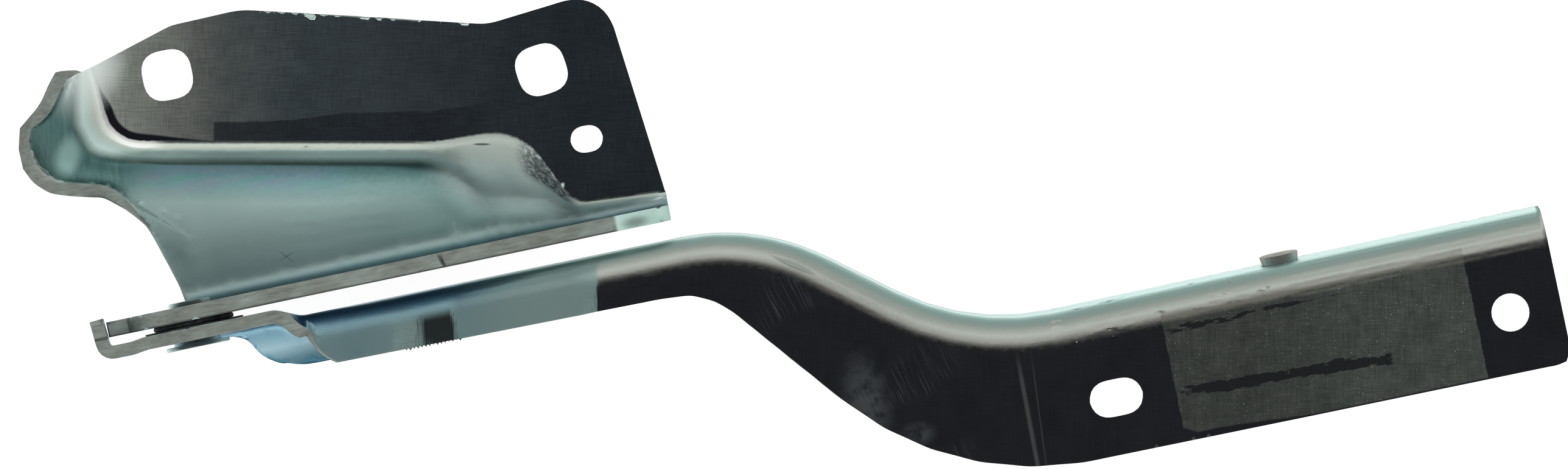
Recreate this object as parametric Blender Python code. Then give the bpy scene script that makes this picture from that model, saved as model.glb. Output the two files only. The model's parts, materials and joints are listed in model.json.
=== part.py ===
"""Bonnet hinge: a stamped body bracket, a stamped hood arm and the rivet they turn on.

All sizes are millimetres, measured from the pivot: X runs along the arm towards the
bonnet, Y is the pivot axis and Z is up. The body plate's inner face lies in Y = 0.
Each object has its origin on the pivot axis.
"""
import math

import bmesh
import bpy
from mathutils import Matrix, Vector

MM = 0.001

# Sheets and running gaps
BODY_SHEET = 3.5
ARM_SHEET = 3.0
SEAT_GAP = 0.08          # between pieces that lie face to face
BORE_GAP = 0.10          # round a shank that passes through a bore
OPEN_ANGLE = 52.0        # the arm's swing from shut to the stop
STOP_GAP = 0.3           # left between the tab and the stop when open
SWEEP_GAP = 0.4          # between the tab and the plate's edge that it sweeps past

# Pivot stack
SPACER_RADIUS = 9.3
SPACER_THICKNESS = 1.02
THIN_WASHER_RADIUS = 11.4
THIN_WASHER_THICKNESS = 0.29
SHOULDER_RADIUS = 5.4
TENON_RADIUS = 4.0
BUSH_WALL = 0.7
BUSH_CHAMFER = 0.25
HEAD_RIM = 1.9           # how far the head stands out round the shoulder
HEAD_THICKNESS = 0.95
HEAD_PLAY = 0.75         # between the head and the arm
UPSET_RIM = 0.85         # how far the upset end stands out round the tenon
UPSET_HEIGHT = 1.0

# Body bracket, seen from above
FLANGE_Z = -4.0          # top of the bolting flange
BODY_END_X = 111.5       # the bracket's right end
FLANGE_OUTLINE = [       # outer edge from the right end round to the left, with corner radii
    (BODY_END_X, 6.8, 0.0), (BODY_END_X - 4.7, 54.8, 9.0), (79.5, 52.4, 14.0), (25.0, 67.2, 20.0),
    (8.6, 66.9, 12.0), (-10.9, 61.3, 0.0)]
RIDGE_PATH = [           # edge of the flat flange, from the left corner to the right end
    (-10.9, 61.3, 0.0), (-9.4, 43.8, 8.0), (62.5, 28.7, 10.0), (81.6, 28.1, 13.0),
    (90.8, 8.5, 5.0), (BODY_END_X, 6.8, 0.0)]
CORNER_STEPS = 5         # facets of each rounded corner
DISH_RIM = [
    (-17.3, 59.6), (-19.9, 56.6), (-23.3, 52.3), (-28.0, 49.8), (-28.4, 42.8), (-25.0, 37.8),
    (-18.6, 35.7), (-12.2, 33.5), (-8.4, 28.2)]
DISH_VALLEY = [
    (-15.2, 60.4), (-17.2, 57.4), (-18.6, 53.6), (-19.4, 49.4), (-19.0, 44.8), (-16.6, 41.0),
    (-13.0, 38.8), (-9.4, 37.8), (-5.8, 37.2)]
DISH_DROP = [(0.0, 2.4), (1.0, 3.4), (2.0, 4.0), (3.0, 4.2)]   # flange top to the floor, by rim point
DISH_RIM_SLOPE = [        # how steeply the rim is turned up, in degrees
    (0.0, 35.0), (1.0, 50.0), (2.0, 35.0), (3.0, 34.0), (4.0, 60.0), (5.0, 56.0), (6.0, 52.0), (7.0, 56.0),
    (8.0, 34.0)]
DISH_RISE = [(0.4, 0.1), (0.65, 0.35), (0.84, 0.7), (1.0, 1.0)]   # share of the way out, share of that slope
CUT_EDGE = [(-5.6, 22.4), (-4.4, 17.2), (-1.5, 7.4)]   # left edge of the slope, rim to bend
VALLEY_LINE = [
    (-5.8, 37.2), (0.0, 35.9), (60.0, 23.3), (66.0, 18.8), (70.5, 14.2), (76.0, 12.8),
    (84.0, 10.8), (89.0, 8.2)]
VALLEY_Z = [(-8.0, -8.0), (60.0, -8.2), (70.0, -11.0), (76.0, -10.6), (84.0, -8.4), (89.0, -5.8)]
FOOT_Z = [(-1.6, -14.6), (60.0, -14.6), (70.0, -13.8), (76.0, -12.2), (84.0, -9.6), (89.0, -6.6)]
RIDGE_RADIUS = [(60.0, 3.9), (74.0, 6.0), (86.0, 5.0), (92.0, 3.9)]
VALLEY_RADIUS = [(60.0, 1.2), (70.0, 6.0), (89.0, 6.0)]
FOOT_RADIUS = [(70.0, 3.0), (90.0, 1.5)]
GROOVE_X = VALLEY_LINE[-1][0]   # right of here the flange meets the plate in a plain groove
GROOVE_ANGLE = 32.0
RELIEF_X = -3.6          # the notch beside the plate's bend starts here
EDGE_LIFT = 0.5          # how far the slope's left edge is turned up
EDGE_DRIFT = 1.4         # how far that edge runs to the right over the bend
BOLT_HOLES = [(5.5, 56.0, -0.2), (89.5, 39.7, 6.7)]   # centre and turn in degrees
BOLT_HOLE_WIDTH = 11.4
BOLT_HOLE_FLAT = 3.0     # straight part of each side, between the rounded corners
LOCATING_HOLE = (96.4, 22.1, -1.3)
LOCATING_HOLE_SIZE = (7.5, 6.1)

# Pivot plate of the bracket, seen from the side
BOSS_RADIUS = 15.2
EAR_TOP_ANGLE = 166.0
LUG_WIDTH = 5.0          # of the stop lug, along its outer end
LUG_FOOT = (-2.2, -21.2)
PLATE_TOP_START = (10.0, 14.2)
PLATE_TOP = [            # upper edge right of the boss, with corner radii
    (58.4, 10.9, 0.8), (58.9, 9.9, 0.6), (BODY_END_X - 11.5, 7.6, 4.0), (BODY_END_X - 3.2, 2.6, 3.0),
    (BODY_END_X - 0.6, -2.6, 2.0)]

# Hood arm
ARM_FACE_Y = -(SPACER_THICKNESS + THIN_WASHER_THICKNESS + 3 * SEAT_GAP)   # face of its pivot plate
WEB_FACE_Y = ARM_FACE_Y - 2.55   # face of its web past the joggle
TAB_FACE_X = -20.0       # face of the stop tab that looks to the pivot
TAB_TIP_Y = 4.5
TAB_LOW_Z = 0.5
TAB_HIGH_Z = 10.0
ARM_END_X = 306.0
ARM_BOSS_RADIUS = 14.0
STOP_REACH = ARM_SHEET + 1.2 - TAB_FACE_X   # outer radius of the stop lug, past the tab's far face
EAR_RADIUS = -TAB_FACE_X - SWEEP_GAP        # the tab sweeps round this arc of the plate
ARM_GUIDE = [            # outer face of tab, pivot plate and web, from above
    (TAB_FACE_X, TAB_TIP_Y, 0.0), (TAB_FACE_X + 0.5, ARM_FACE_Y - 0.45, 0.8),
    (-14.6, ARM_FACE_Y - 0.45, 5.0), (-11.6, ARM_FACE_Y, 5.0), (18.6, ARM_FACE_Y, 7.0),
    (24.4, WEB_FACE_Y, 6.0), (130.4, WEB_FACE_Y - 0.2, 51.0), (173.4, -37.9, 54.0), (ARM_END_X, -37.5, 0.0)]
ARM_FREE_EDGE = [        # free edge of the top flange, from above
    (20.0, -16.1, 0.0), (116.2, -17.3, 17.0), (162.1, -73.3, 69.5), (ARM_END_X + 2.0, -73.6, 0.0)]
ARM_TOP_Z = [(25.0, 13.85), (45.0, 9.2), (47.0, 9.0), (58.5, 9.0), (60.7, 9.25), (89.5, 16.0), (92.5, 16.3)]
ARM_BEND_RADIUS = [(110.0, 7.2), (150.0, 8.2), (ARM_END_X, 8.8)]
ARM_LEAN = [(30.0, 0.0), (40.0, 1.5), (170.0, 1.5), (200.0, 5.0)]          # degrees
SQUARE_FROM_X = -16.0    # between these the sections stand square to X
SQUARE_TO_X = 60.0
ARM_SKEW = [(32.0, 0.0), (40.0, 11.8), (93.0, 11.8), (106.0, 0.0)]         # creases run this much aslant
TOP_FOLD = [(22.0, 0.0), (24.8, 32.0), (25.8, 58.0), (26.4, 80.0), (27.2, 90.0)]
TOP_TRIM = [
    (8.0, 9.4), (22.0, 6.9), (25.0, 7.0), (25.8, 7.3), (26.4, 10.2), (27.2, 12.4), (28.5, 14.4),
    (31.0, 15.8)]
TOP_TRIM_END_X = TOP_TRIM[-1][0]    # past here the free edge trims the flange
WEB_LOW_Z = [(60.0, -9.5), (112.0, 1.0)]
LIP_RADIUS = 4.5
LIP_FOLD = [(3.0, 0.0), (9.5, 90.0), (96.0, 90.0), (112.0, 0.0)]
LIP_TRIM = [
    (-2.0, 5.5), (4.0, 3.92), (6.0, 3.9), (8.0, 5.7), (10.6, 7.6), (11.8, 9.2), (12.9, 11.4),
    (14.6, 13.1), (17.4, 14.9), (20.8, 14.8), (24.6, 13.8), (90.0, 14.0), (112.0, 3.0)]
BOSS_END_ANGLE = 288.5   # the boss's edge runs round to here and meets the lip
STRAP_TOP_END_X = 20.5   # the pivot plate's level top edge ends here
ARM_CORNER = 3.0         # radius at the flange's far corner
SLOT_CENTRE = (202.6, -60.3)
SLOT_SIZE = (12.3, 8.4)
ROUND_HOLE_CENTRE = (294.4, -59.7)
ROUND_HOLE_DIAMETER = 8.7

# Stud in the arm's web
STUD_X = 245.6
STUD_Z = 3.6
STUD_HEAD_RADIUS = 4.45
STUD_HEAD_HEIGHT = 2.0
STUD_SHANK_RADIUS = 3.0
STUD_RIVET_RADIUS = 4.2
STUD_RIVET_HEIGHT = 1.1

# The part's origin: underside of the bolting flange, midway between the bolt holes
ORIGIN = Vector((
    (BOLT_HOLES[0][0] + BOLT_HOLES[1][0]) / 2,
    (BOLT_HOLES[0][1] + BOLT_HOLES[1][1]) / 2,
    FLANGE_Z - BODY_SHEET))
ROUND_SIDES = 56
CUT_DEPTH = 8.0          # how far the cutting tools reach past a face
TAIL = 200.0             # straight end of a section, long enough for any leg


def along(table, x):
    """Value of a (place, value) table at x, straight between its rows and level past its ends."""
    if x <= table[0][0]:
        return table[0][1]
    for (x0, v0), (x1, v1) in zip(table, table[1:]):
        if x <= x1:
            return v0 + (v1 - v0) * (x - x0) / (x1 - x0)
    return table[-1][1]


def rounded_path(corners, steps=CORNER_STEPS):
    """Points and headings along a line whose corners (x, y, radius) are rounded."""
    places = [Vector(corner[:2]) for corner in corners]
    path = []
    for i, place in enumerate(places):
        if i == 0 or i == len(places) - 1:
            leg = places[1] - places[0] if i == 0 else places[-1] - places[-2]
            path.append((place, math.atan2(leg.y, leg.x)))
            continue
        into = (place - places[i - 1]).normalized()
        out = (places[i + 1] - place).normalized()
        turn = math.atan2(into.x * out.y - into.y * out.x, into.dot(out))
        radius = corners[i][2]
        start = place - into * radius * math.tan(abs(turn) / 2)
        side = math.copysign(1.0, turn)
        centre = start + Vector((-into.y, into.x)) * radius * side
        for k in range(steps + 1):
            angle = turn * k / steps
            spot = centre + Matrix.Rotation(angle, 2) @ (start - centre)
            path.append((spot, math.atan2(into.y, into.x) + angle))
    return path


def smooth_points(points, count):
    """Count points on a smooth curve through the given points (Catmull-Rom)."""
    places = [Vector(point) for point in points]
    places = [2 * places[0] - places[1]] + places + [2 * places[-1] - places[-2]]
    result = []
    for k in range(count):
        u = k / (count - 1) * (len(points) - 1)
        i = min(int(u), len(points) - 2)
        t = u - i
        a, b, c, d = places[i:i + 4]
        result.append(0.5 * (2 * b + (c - a) * t + (2 * a - 5 * b + 4 * c - d) * t * t
                             + (3 * b - a - 3 * c + d) * t ** 3))
    return result


def row_places(breaks, counts):
    """Evenly spaced stops between neighbouring breaks, counts[i] of them after break i."""
    rows = [breaks[0]]
    for low, high, count in zip(breaks, breaks[1:], counts):
        rows += [low + (high - low) * (k + 1) / count for k in range(count)]
    return rows


def make_material(name, colour, roughness, metallic):
    material = bpy.data.materials.new(name)
    material.use_nodes = True
    shader = material.node_tree.nodes["Principled BSDF"]
    shader.inputs["Base Color"].default_value = (*colour, 1.0)
    shader.inputs["Roughness"].default_value = roughness
    shader.inputs["Metallic"].default_value = metallic
    return material


def add_object(name, mesh, material=None):
    """Put a mesh drawn in millimetres round the pivot into the scene, its origin on the pivot."""
    mesh.transform(Matrix.Scale(MM, 4))
    thing = bpy.data.objects.new(name, mesh)
    thing.location = -ORIGIN * MM
    bpy.context.scene.collection.objects.link(thing)
    if material:
        mesh.materials.append(material)
    return thing


def mesh_from(name, points, faces):
    mesh = bpy.data.meshes.new(name)
    mesh.from_pydata([tuple(point) for point in points], [], faces)
    return mesh


def prism(name, outline, axis, low, high):
    """Closed prism on a flat outline, drawn in X-Y and standing along Z, or in X-Z and along Y."""
    form = bmesh.new()
    place = (lambda p, h: (p[0], p[1], h)) if axis == "Z" else (lambda p, h: (p[0], h, p[1]))
    bottom = form.faces.new([form.verts.new(place(point, low)) for point in outline])
    lifted = bmesh.ops.extrude_face_region(form, geom=[bottom])
    shift = Vector(place((0.0, 0.0), high - low))
    top = [vert for vert in lifted["geom"] if isinstance(vert, bmesh.types.BMVert)]
    bmesh.ops.translate(form, vec=shift, verts=top)
    bmesh.ops.recalc_face_normals(form, faces=form.faces)
    mesh = bpy.data.meshes.new(name)
    form.to_mesh(mesh)
    form.free()
    return mesh


def cut_with(target, name, mesh):
    """Cut a hidden tool's shape out of the target."""
    cutter = add_object(name, mesh)
    cutter.hide_render = True
    cutter.display_type = "WIRE"
    cutter.hide_set(True)
    cut = target.modifiers.new(name, "BOOLEAN")
    cut.operation = "DIFFERENCE"
    cut.object = cutter


def thicken(target, thickness):
    """Give the drawn skin its sheet, behind the drawn face."""
    sheet = target.modifiers.new("sheet", "SOLIDIFY")
    sheet.thickness = thickness * MM
    sheet.offset = -1.0
    sheet.use_even_offset = True


def turned(name, profile, centre, turn, material):
    """Revolve (radius, height) points about Y; height grows towards +Y before the turn about Z and X."""
    form = bmesh.new()
    spots = [form.verts.new((radius, height, 0.0)) for radius, height in profile]
    edges = [form.edges.new(pair) for pair in zip(spots, spots[1:] + spots[:1])]
    bmesh.ops.spin(form, geom=spots + edges, cent=(0, 0, 0), axis=(0, 1, 0), angle=math.tau,
                   steps=ROUND_SIDES, use_duplicate=False)
    bmesh.ops.remove_doubles(form, verts=form.verts, dist=1e-4)
    bmesh.ops.dissolve_degenerate(form, edges=form.edges, dist=1e-4)
    bmesh.ops.recalc_face_normals(form, faces=form.faces)
    mesh = bpy.data.meshes.new(name)
    form.to_mesh(mesh)
    form.free()
    mesh.transform(Matrix.Translation(centre) @ turn)
    mesh.shade_smooth()
    mesh.set_sharp_from_angle(angle=math.radians(30))
    return add_object(name, mesh, material)


def polar(radius, degrees):
    return (radius * math.cos(math.radians(degrees)), radius * math.sin(math.radians(degrees)))


def arc_points(radius, start, end, count):
    return [polar(radius, start + (end - start) * k / (count - 1)) for k in range(count)]


def rounded_box(centre, size, corner, turn, steps=5):
    """Outline of a rectangle with rounded corners, turned by some degrees."""
    outline = []
    for k, (sx, sy) in enumerate([(1, 1), (-1, 1), (-1, -1), (1, -1)]):
        middle = Vector((sx * (size[0] / 2 - corner), sy * (size[1] / 2 - corner)))
        for j in range(steps + 1):
            angle = math.radians(90 * k + 90 * j / steps)
            outline.append(middle + corner * Vector((math.cos(angle), math.sin(angle))))
    spin = Matrix.Rotation(math.radians(turn), 2)
    return [Vector(centre) + spin @ point for point in outline]


# Body bracket

class Section:
    """A folded line: legs are (length, bend) pairs, bend being the radians turned over the leg."""

    def __init__(self, heading):
        self.legs = []
        self.heading = heading

    def add(self, length, bend=0.0):
        self.legs.append((length, bend))

    def at(self, s):
        """Outward distance and height at s along the line."""
        h, z, heading = 0.0, 0.0, self.heading
        for length, bend in self.legs:
            part = min(s, length)
            if abs(bend) < 1e-9 or length < 1e-9:
                h += part * math.cos(heading)
                z += part * math.sin(heading)
            else:
                radius = length / bend
                after = heading + bend * part / length
                h += radius * (math.sin(after) - math.sin(heading))
                z -= radius * (math.cos(after) - math.cos(heading))
            heading += bend * (part / length if length > 1e-9 else 0.0)
            s -= part
            if s <= 0.0:
                break
        return h, z


def step_angle(width, drop, radii, end_angle):
    """Steepest angle of a step that falls by drop over width, with the bend radii (top, bottom)."""
    low, high = end_angle, math.radians(88.0)
    for _ in range(50):
        angle = (low + high) / 2
        across = radii[0] * math.sin(angle) + radii[1] * (math.sin(angle) - math.sin(end_angle))
        down = radii[0] * (1 - math.cos(angle)) + radii[1] * (math.cos(end_angle) - math.cos(angle))
        straight = (width - across) / math.cos(angle)
        if down + straight * math.sin(angle) < drop:
            low = angle
        else:
            high = angle
    return angle, straight


def slope_section(x, ridge_y, plate_top):
    """Section across the bracket at x, from the ridge down to the bend and up the plate."""
    foot_radius = along(FOOT_RADIUS, x)
    ridge_radius = along(RIDGE_RADIUS, x)
    section = Section(0.0)
    if x > GROOVE_X:
        room = ridge_y - BODY_SHEET - foot_radius
        dip = min(math.asin(min(room / (ridge_radius + foot_radius), 1.0)), math.radians(GROOVE_ANGLE))
        straight = (room - (ridge_radius + foot_radius) * math.sin(dip)) / math.cos(dip)
        section.add(ridge_radius * dip, -dip)
        section.add(straight)
        fall = ridge_radius * dip + straight
        breaks = [0.0, 0.6 * fall, 0.7 * fall, 0.8 * fall, fall]
        slope = dip
    else:
        valley = (along(VALLEY_LINE, x), along(VALLEY_Z, x))
        valley_radius = along(VALLEY_RADIUS, x)
        slope = math.radians(15.0)
        for _ in range(4):
            foot_y = BODY_SHEET + foot_radius * (1 + math.sin(slope))
            slope = math.atan2(valley[1] - along(FOOT_Z, x), valley[0] - foot_y)
        wall, straight = step_angle(ridge_y - valley[0], FLANGE_Z - valley[1],
                                    (ridge_radius, valley_radius), slope)
        section.add(ridge_radius * wall, -wall)
        section.add(straight)
        section.add(valley_radius * (wall - slope), wall - slope)
        section.add((valley[0] - foot_y) / math.cos(slope))
        lengths = [leg[0] for leg in section.legs]
        breaks = [0.0] + [sum(lengths[:k + 1]) for k in range(4)]
    turn = math.pi / 2 + slope
    section.add(foot_radius * turn, turn)
    breaks.append(breaks[-1] + foot_radius * turn)
    low = section.at(breaks[-1])[1] + FLANGE_Z
    section.add(plate_top - low)
    breaks.append(breaks[-1] + plate_top - low)
    return section, breaks


def body_bracket(material):
    """Flange, dish, slope and upright pivot plate drawn as one skin, then thickened and trimmed."""
    ridge = [spot for spot, _ in rounded_path(RIDGE_PATH)]
    corner_end = CORNER_STEPS + 1       # the last point of the ridge's left corner
    points, faces = [], []

    def add_point(x, y, z):
        points.append((x, y, z))
        return len(points) - 1

    # The dish round the flange's left corner fans out from the ridge to the rim
    fan_path = ridge[:corner_end + 1]
    fan_path[1:1] = [fan_path[0].lerp(fan_path[1], 0.33), fan_path[0].lerp(fan_path[1], 0.67)]
    fan_count = 15
    fan_ridge = smooth_points([tuple(spot) for spot in fan_path], fan_count)
    fan_valley = smooth_points(DISH_VALLEY, fan_count)
    fan_rim = smooth_points(DISH_RIM, fan_count)
    upper_counts = (4, 1, 2)
    columns = []
    for k in range(fan_count):
        out = fan_valley[k] - fan_ridge[k]
        u = k / (fan_count - 1) * (len(DISH_RIM) - 1)
        drop = along(DISH_DROP, u)
        radii = (along(RIDGE_RADIUS, 0.0), along(VALLEY_RADIUS, 0.0))
        wall, straight = step_angle(out.length, drop, radii, 0.0)
        section = Section(0.0)
        section.add(radii[0] * wall, -wall)
        section.add(straight)
        section.add(radii[1] * wall, wall)
        lengths = [leg[0] for leg in section.legs]
        stops = row_places([0.0] + [sum(lengths[:i + 1]) for i in range(3)], upper_counts)
        column = []
        for s in stops:
            h, z = section.at(s)
            spot = fan_ridge[k] + out.normalized() * h
            column.append(add_point(spot.x, spot.y, FLANGE_Z + z))
        rise = fan_rim[k] - fan_valley[k]
        lift, before = 0.0, 0.0
        for t, share in DISH_RISE:
            lift += math.tan(math.radians(along(DISH_RIM_SLOPE, u) * share)) * rise.length * (t - before)
            before = t
            spot = fan_valley[k] + rise * t
            column.append(add_point(spot.x, spot.y, FLANGE_Z - drop + lift))
        columns.append(column)

    # The cut edge of the slope runs from the rim down to the bend at the plate
    plate_high = BOSS_RADIUS + 2.0
    ridge_line = [tuple(spot) for spot in ridge[corner_end:]]
    section, breaks = slope_section(0.0, along(ridge_line, 0.0), plate_high)
    edge = columns[-1]
    fall_start = FLANGE_Z - drop + lift
    foot = CUT_EDGE[-1]
    for k, (x, y) in enumerate(CUT_EDGE):
        t = (k + 1) / len(CUT_EDGE)
        z = fall_start + (along(FOOT_Z, x) + EDGE_LIFT - fall_start) * t
        edge.append(add_point(x, y, z))
    base = section.at(breaks[4])
    bend_depth = section.at(breaks[5])[0] - base[0]
    for s in row_places([breaks[4], breaks[5], breaks[6]], (5, 2))[1:]:
        h, z = section.at(s)
        slide = (s - breaks[4]) / (breaks[5] - breaks[4])
        slide = min(slide, 1.0)
        x = foot[0] + slide * EDGE_DRIFT
        y = max(foot[1] - (h - base[0]) * (foot[1] - BODY_SHEET) / bend_depth, BODY_SHEET)
        edge.append(add_point(x, y, along(FOOT_Z, foot[0]) + z - base[1] + EDGE_LIFT * (1 - slide)))

    # Sections at a steady x follow, from the slope's left edge to the bracket's right end
    stations = [2.5, 10.0, 22.0, 36.0, 50.0]
    extra = {66.0, 70.5, 74.0, 98.0, 105.0}
    stations += sorted({round(x, 2) for x, _ in ridge_line if x > stations[-1]} | extra)
    stations = [x for x, after in zip(stations, stations[1:] + [math.inf]) if after - x > 0.35]
    for x in stations:
        ridge_y = along(ridge_line, x)
        section, breaks = slope_section(x, ridge_y, plate_high)
        stops = row_places(breaks, upper_counts + (len(DISH_RISE) + len(CUT_EDGE), 5, 2))
        column = []
        for s in stops:
            h, z = section.at(s)
            column.append(add_point(x, ridge_y - h, FLANGE_Z + z))
        columns.append(column)

    for left, right in zip(columns, columns[1:]):
        rows = min(len(left), len(right))
        for i in range(rows - 1):
            faces.append((left[i], left[i + 1], right[i + 1], right[i]))

    # Free part of the pivot plate, left of the bend and of the relief notch beside it
    plate_rows = columns[fan_count - 1][-3:]
    heights = [points[i][2] for i in plate_rows]
    beside = plate_rows
    plate_low = -(STOP_REACH + 1.5)
    for x in (RELIEF_X, -9.0, -(STOP_REACH + 1.0)):
        column = [add_point(x, BODY_SHEET, z) for z in heights]
        if x < RELIEF_X:
            column.insert(0, add_point(x, BODY_SHEET, plate_low))
        elif x == RELIEF_X:
            foot_point = add_point(x, BODY_SHEET, plate_low)
        if x < RELIEF_X and len(beside) < len(column):
            beside = [foot_point] + beside
        for i in range(len(column) - 1):
            faces.append((column[i], column[i + 1], beside[i + 1], beside[i]))
        beside = column

    # Flat flange inside the ridge
    outline = [spot for spot, _ in rounded_path(FLANGE_OUTLINE)][1:-1]
    border = [column[0] for column in columns]
    border += [add_point(spot.x, spot.y, FLANGE_Z) for spot in outline]
    faces.append(tuple(border))

    bracket = add_object("body_bracket", mesh_from("body_bracket", points, faces), material)
    thicken(bracket, BODY_SHEET)

    for i, (x, y, turn) in enumerate(BOLT_HOLES):
        corner = (BOLT_HOLE_WIDTH - BOLT_HOLE_FLAT) / 2
        hole = rounded_box((x, y), (BOLT_HOLE_WIDTH, BOLT_HOLE_WIDTH), corner, turn)
        tool = prism("bolt_hole", hole, "Z", FLANGE_Z - CUT_DEPTH, FLANGE_Z + CUT_DEPTH)
        cut_with(bracket, f"bolt_hole_{i + 1}", tool)
    x, y, turn = LOCATING_HOLE
    hole = rounded_box((x, y), LOCATING_HOLE_SIZE, LOCATING_HOLE_SIZE[1] / 2 - 0.01, turn)
    tool = prism("locating_hole", hole, "Z", FLANGE_Z - CUT_DEPTH, FLANGE_Z + CUT_DEPTH)
    cut_with(bracket, "locating_hole", tool)
    bore = arc_points(TENON_RADIUS + BORE_GAP, 0.0, 360.0, ROUND_SIDES + 1)[:-1]
    cut_with(bracket, "rivet_hole", prism("rivet_hole", bore, "Y", -CUT_DEPTH, BODY_SHEET + CUT_DEPTH))
    cut_with(bracket, "plate_trim", prism("plate_trim", plate_scrap(), "Y", -1.0, BODY_SHEET + 0.2))
    return bracket


def stop_angle():
    """Angle of the stop face, set where the tab's lower edge ends up when open."""
    tab = math.degrees(math.atan2(TAB_LOW_Z, TAB_FACE_X))
    return tab + OPEN_ANGLE + math.degrees(STOP_GAP / EAR_RADIUS)


def plate_scrap():
    """Sheet that the trim tool takes away round the pivot plate, seen from the side."""
    past_end = (BODY_END_X + 1.0, -3.0)
    top = [spot for spot, _ in rounded_path([(*PLATE_TOP_START, 0.0)] + PLATE_TOP + [(*past_end, 0.0)], 3)]
    boss = arc_points(BOSS_RADIUS, 82.0, EAR_TOP_ANGLE, 22)
    stop = stop_angle()
    ear = arc_points(EAR_RADIUS, EAR_TOP_ANGLE + 2.0, stop, 14)
    tip = polar(STOP_REACH, stop)
    heel = polar(STOP_REACH + 1.1, stop + math.degrees(LUG_WIDTH / STOP_REACH))
    lug = [spot for spot, _ in rounded_path([(*tip, 0.0), (*heel, 2.5), (*LUG_FOOT, 0.0)], 3)]
    kept = [tuple(spot) for spot in list(reversed(top[1:])) + boss + ear + lug]
    clear = 2 * STOP_REACH
    right = BODY_END_X + clear
    around = [
        (LUG_FOOT[0], -clear), (-clear, -clear), (-clear, clear), (right, clear), (right, past_end[1] + 0.1)]
    return kept + around


# Hood arm

def arm_stations():
    """Points and headings along the arm's guide, with a stop at each fold and trim."""
    path = rounded_path(ARM_GUIDE)
    tables = (ARM_TOP_Z, TOP_FOLD, TOP_TRIM, LIP_TRIM, ARM_SKEW)
    marks = {x for table in tables for x, _ in table}
    marks |= {STUD_X, 104.0, 270.0, ARM_END_X - ARM_CORNER, ARM_END_X - 0.5 * ARM_CORNER,
              ARM_END_X - 0.13 * ARM_CORNER}
    plate_start = 3.0
    stations = list(path)
    for x in sorted(marks):
        if x < plate_start:
            continue
        for i, (spot, _) in enumerate(stations[:-1]):
            after = stations[i + 1][0]
            if spot.x + 0.4 < x < after.x - 0.4:
                leg = after - spot
                stations.insert(i + 1, (spot + leg * (x - spot.x) / leg.x, math.atan2(leg.y, leg.x)))
                break
    return stations


def reach_to(edge, spot, way):
    """Distance from spot along way to the free edge."""
    best = None
    for (a, _), (b, _) in zip(edge, edge[1:]):
        leg = b - a
        det = way.x * -leg.y + way.y * leg.x
        if abs(det) < 1e-9:
            continue
        gap = a - spot
        distance = (gap.x * -leg.y + gap.y * leg.x) / det
        share = (way.x * gap.y - way.y * gap.x) / det
        if -0.001 <= share <= 1.001 and distance > 0 and (best is None or distance < best):
            best = distance
    return best


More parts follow.
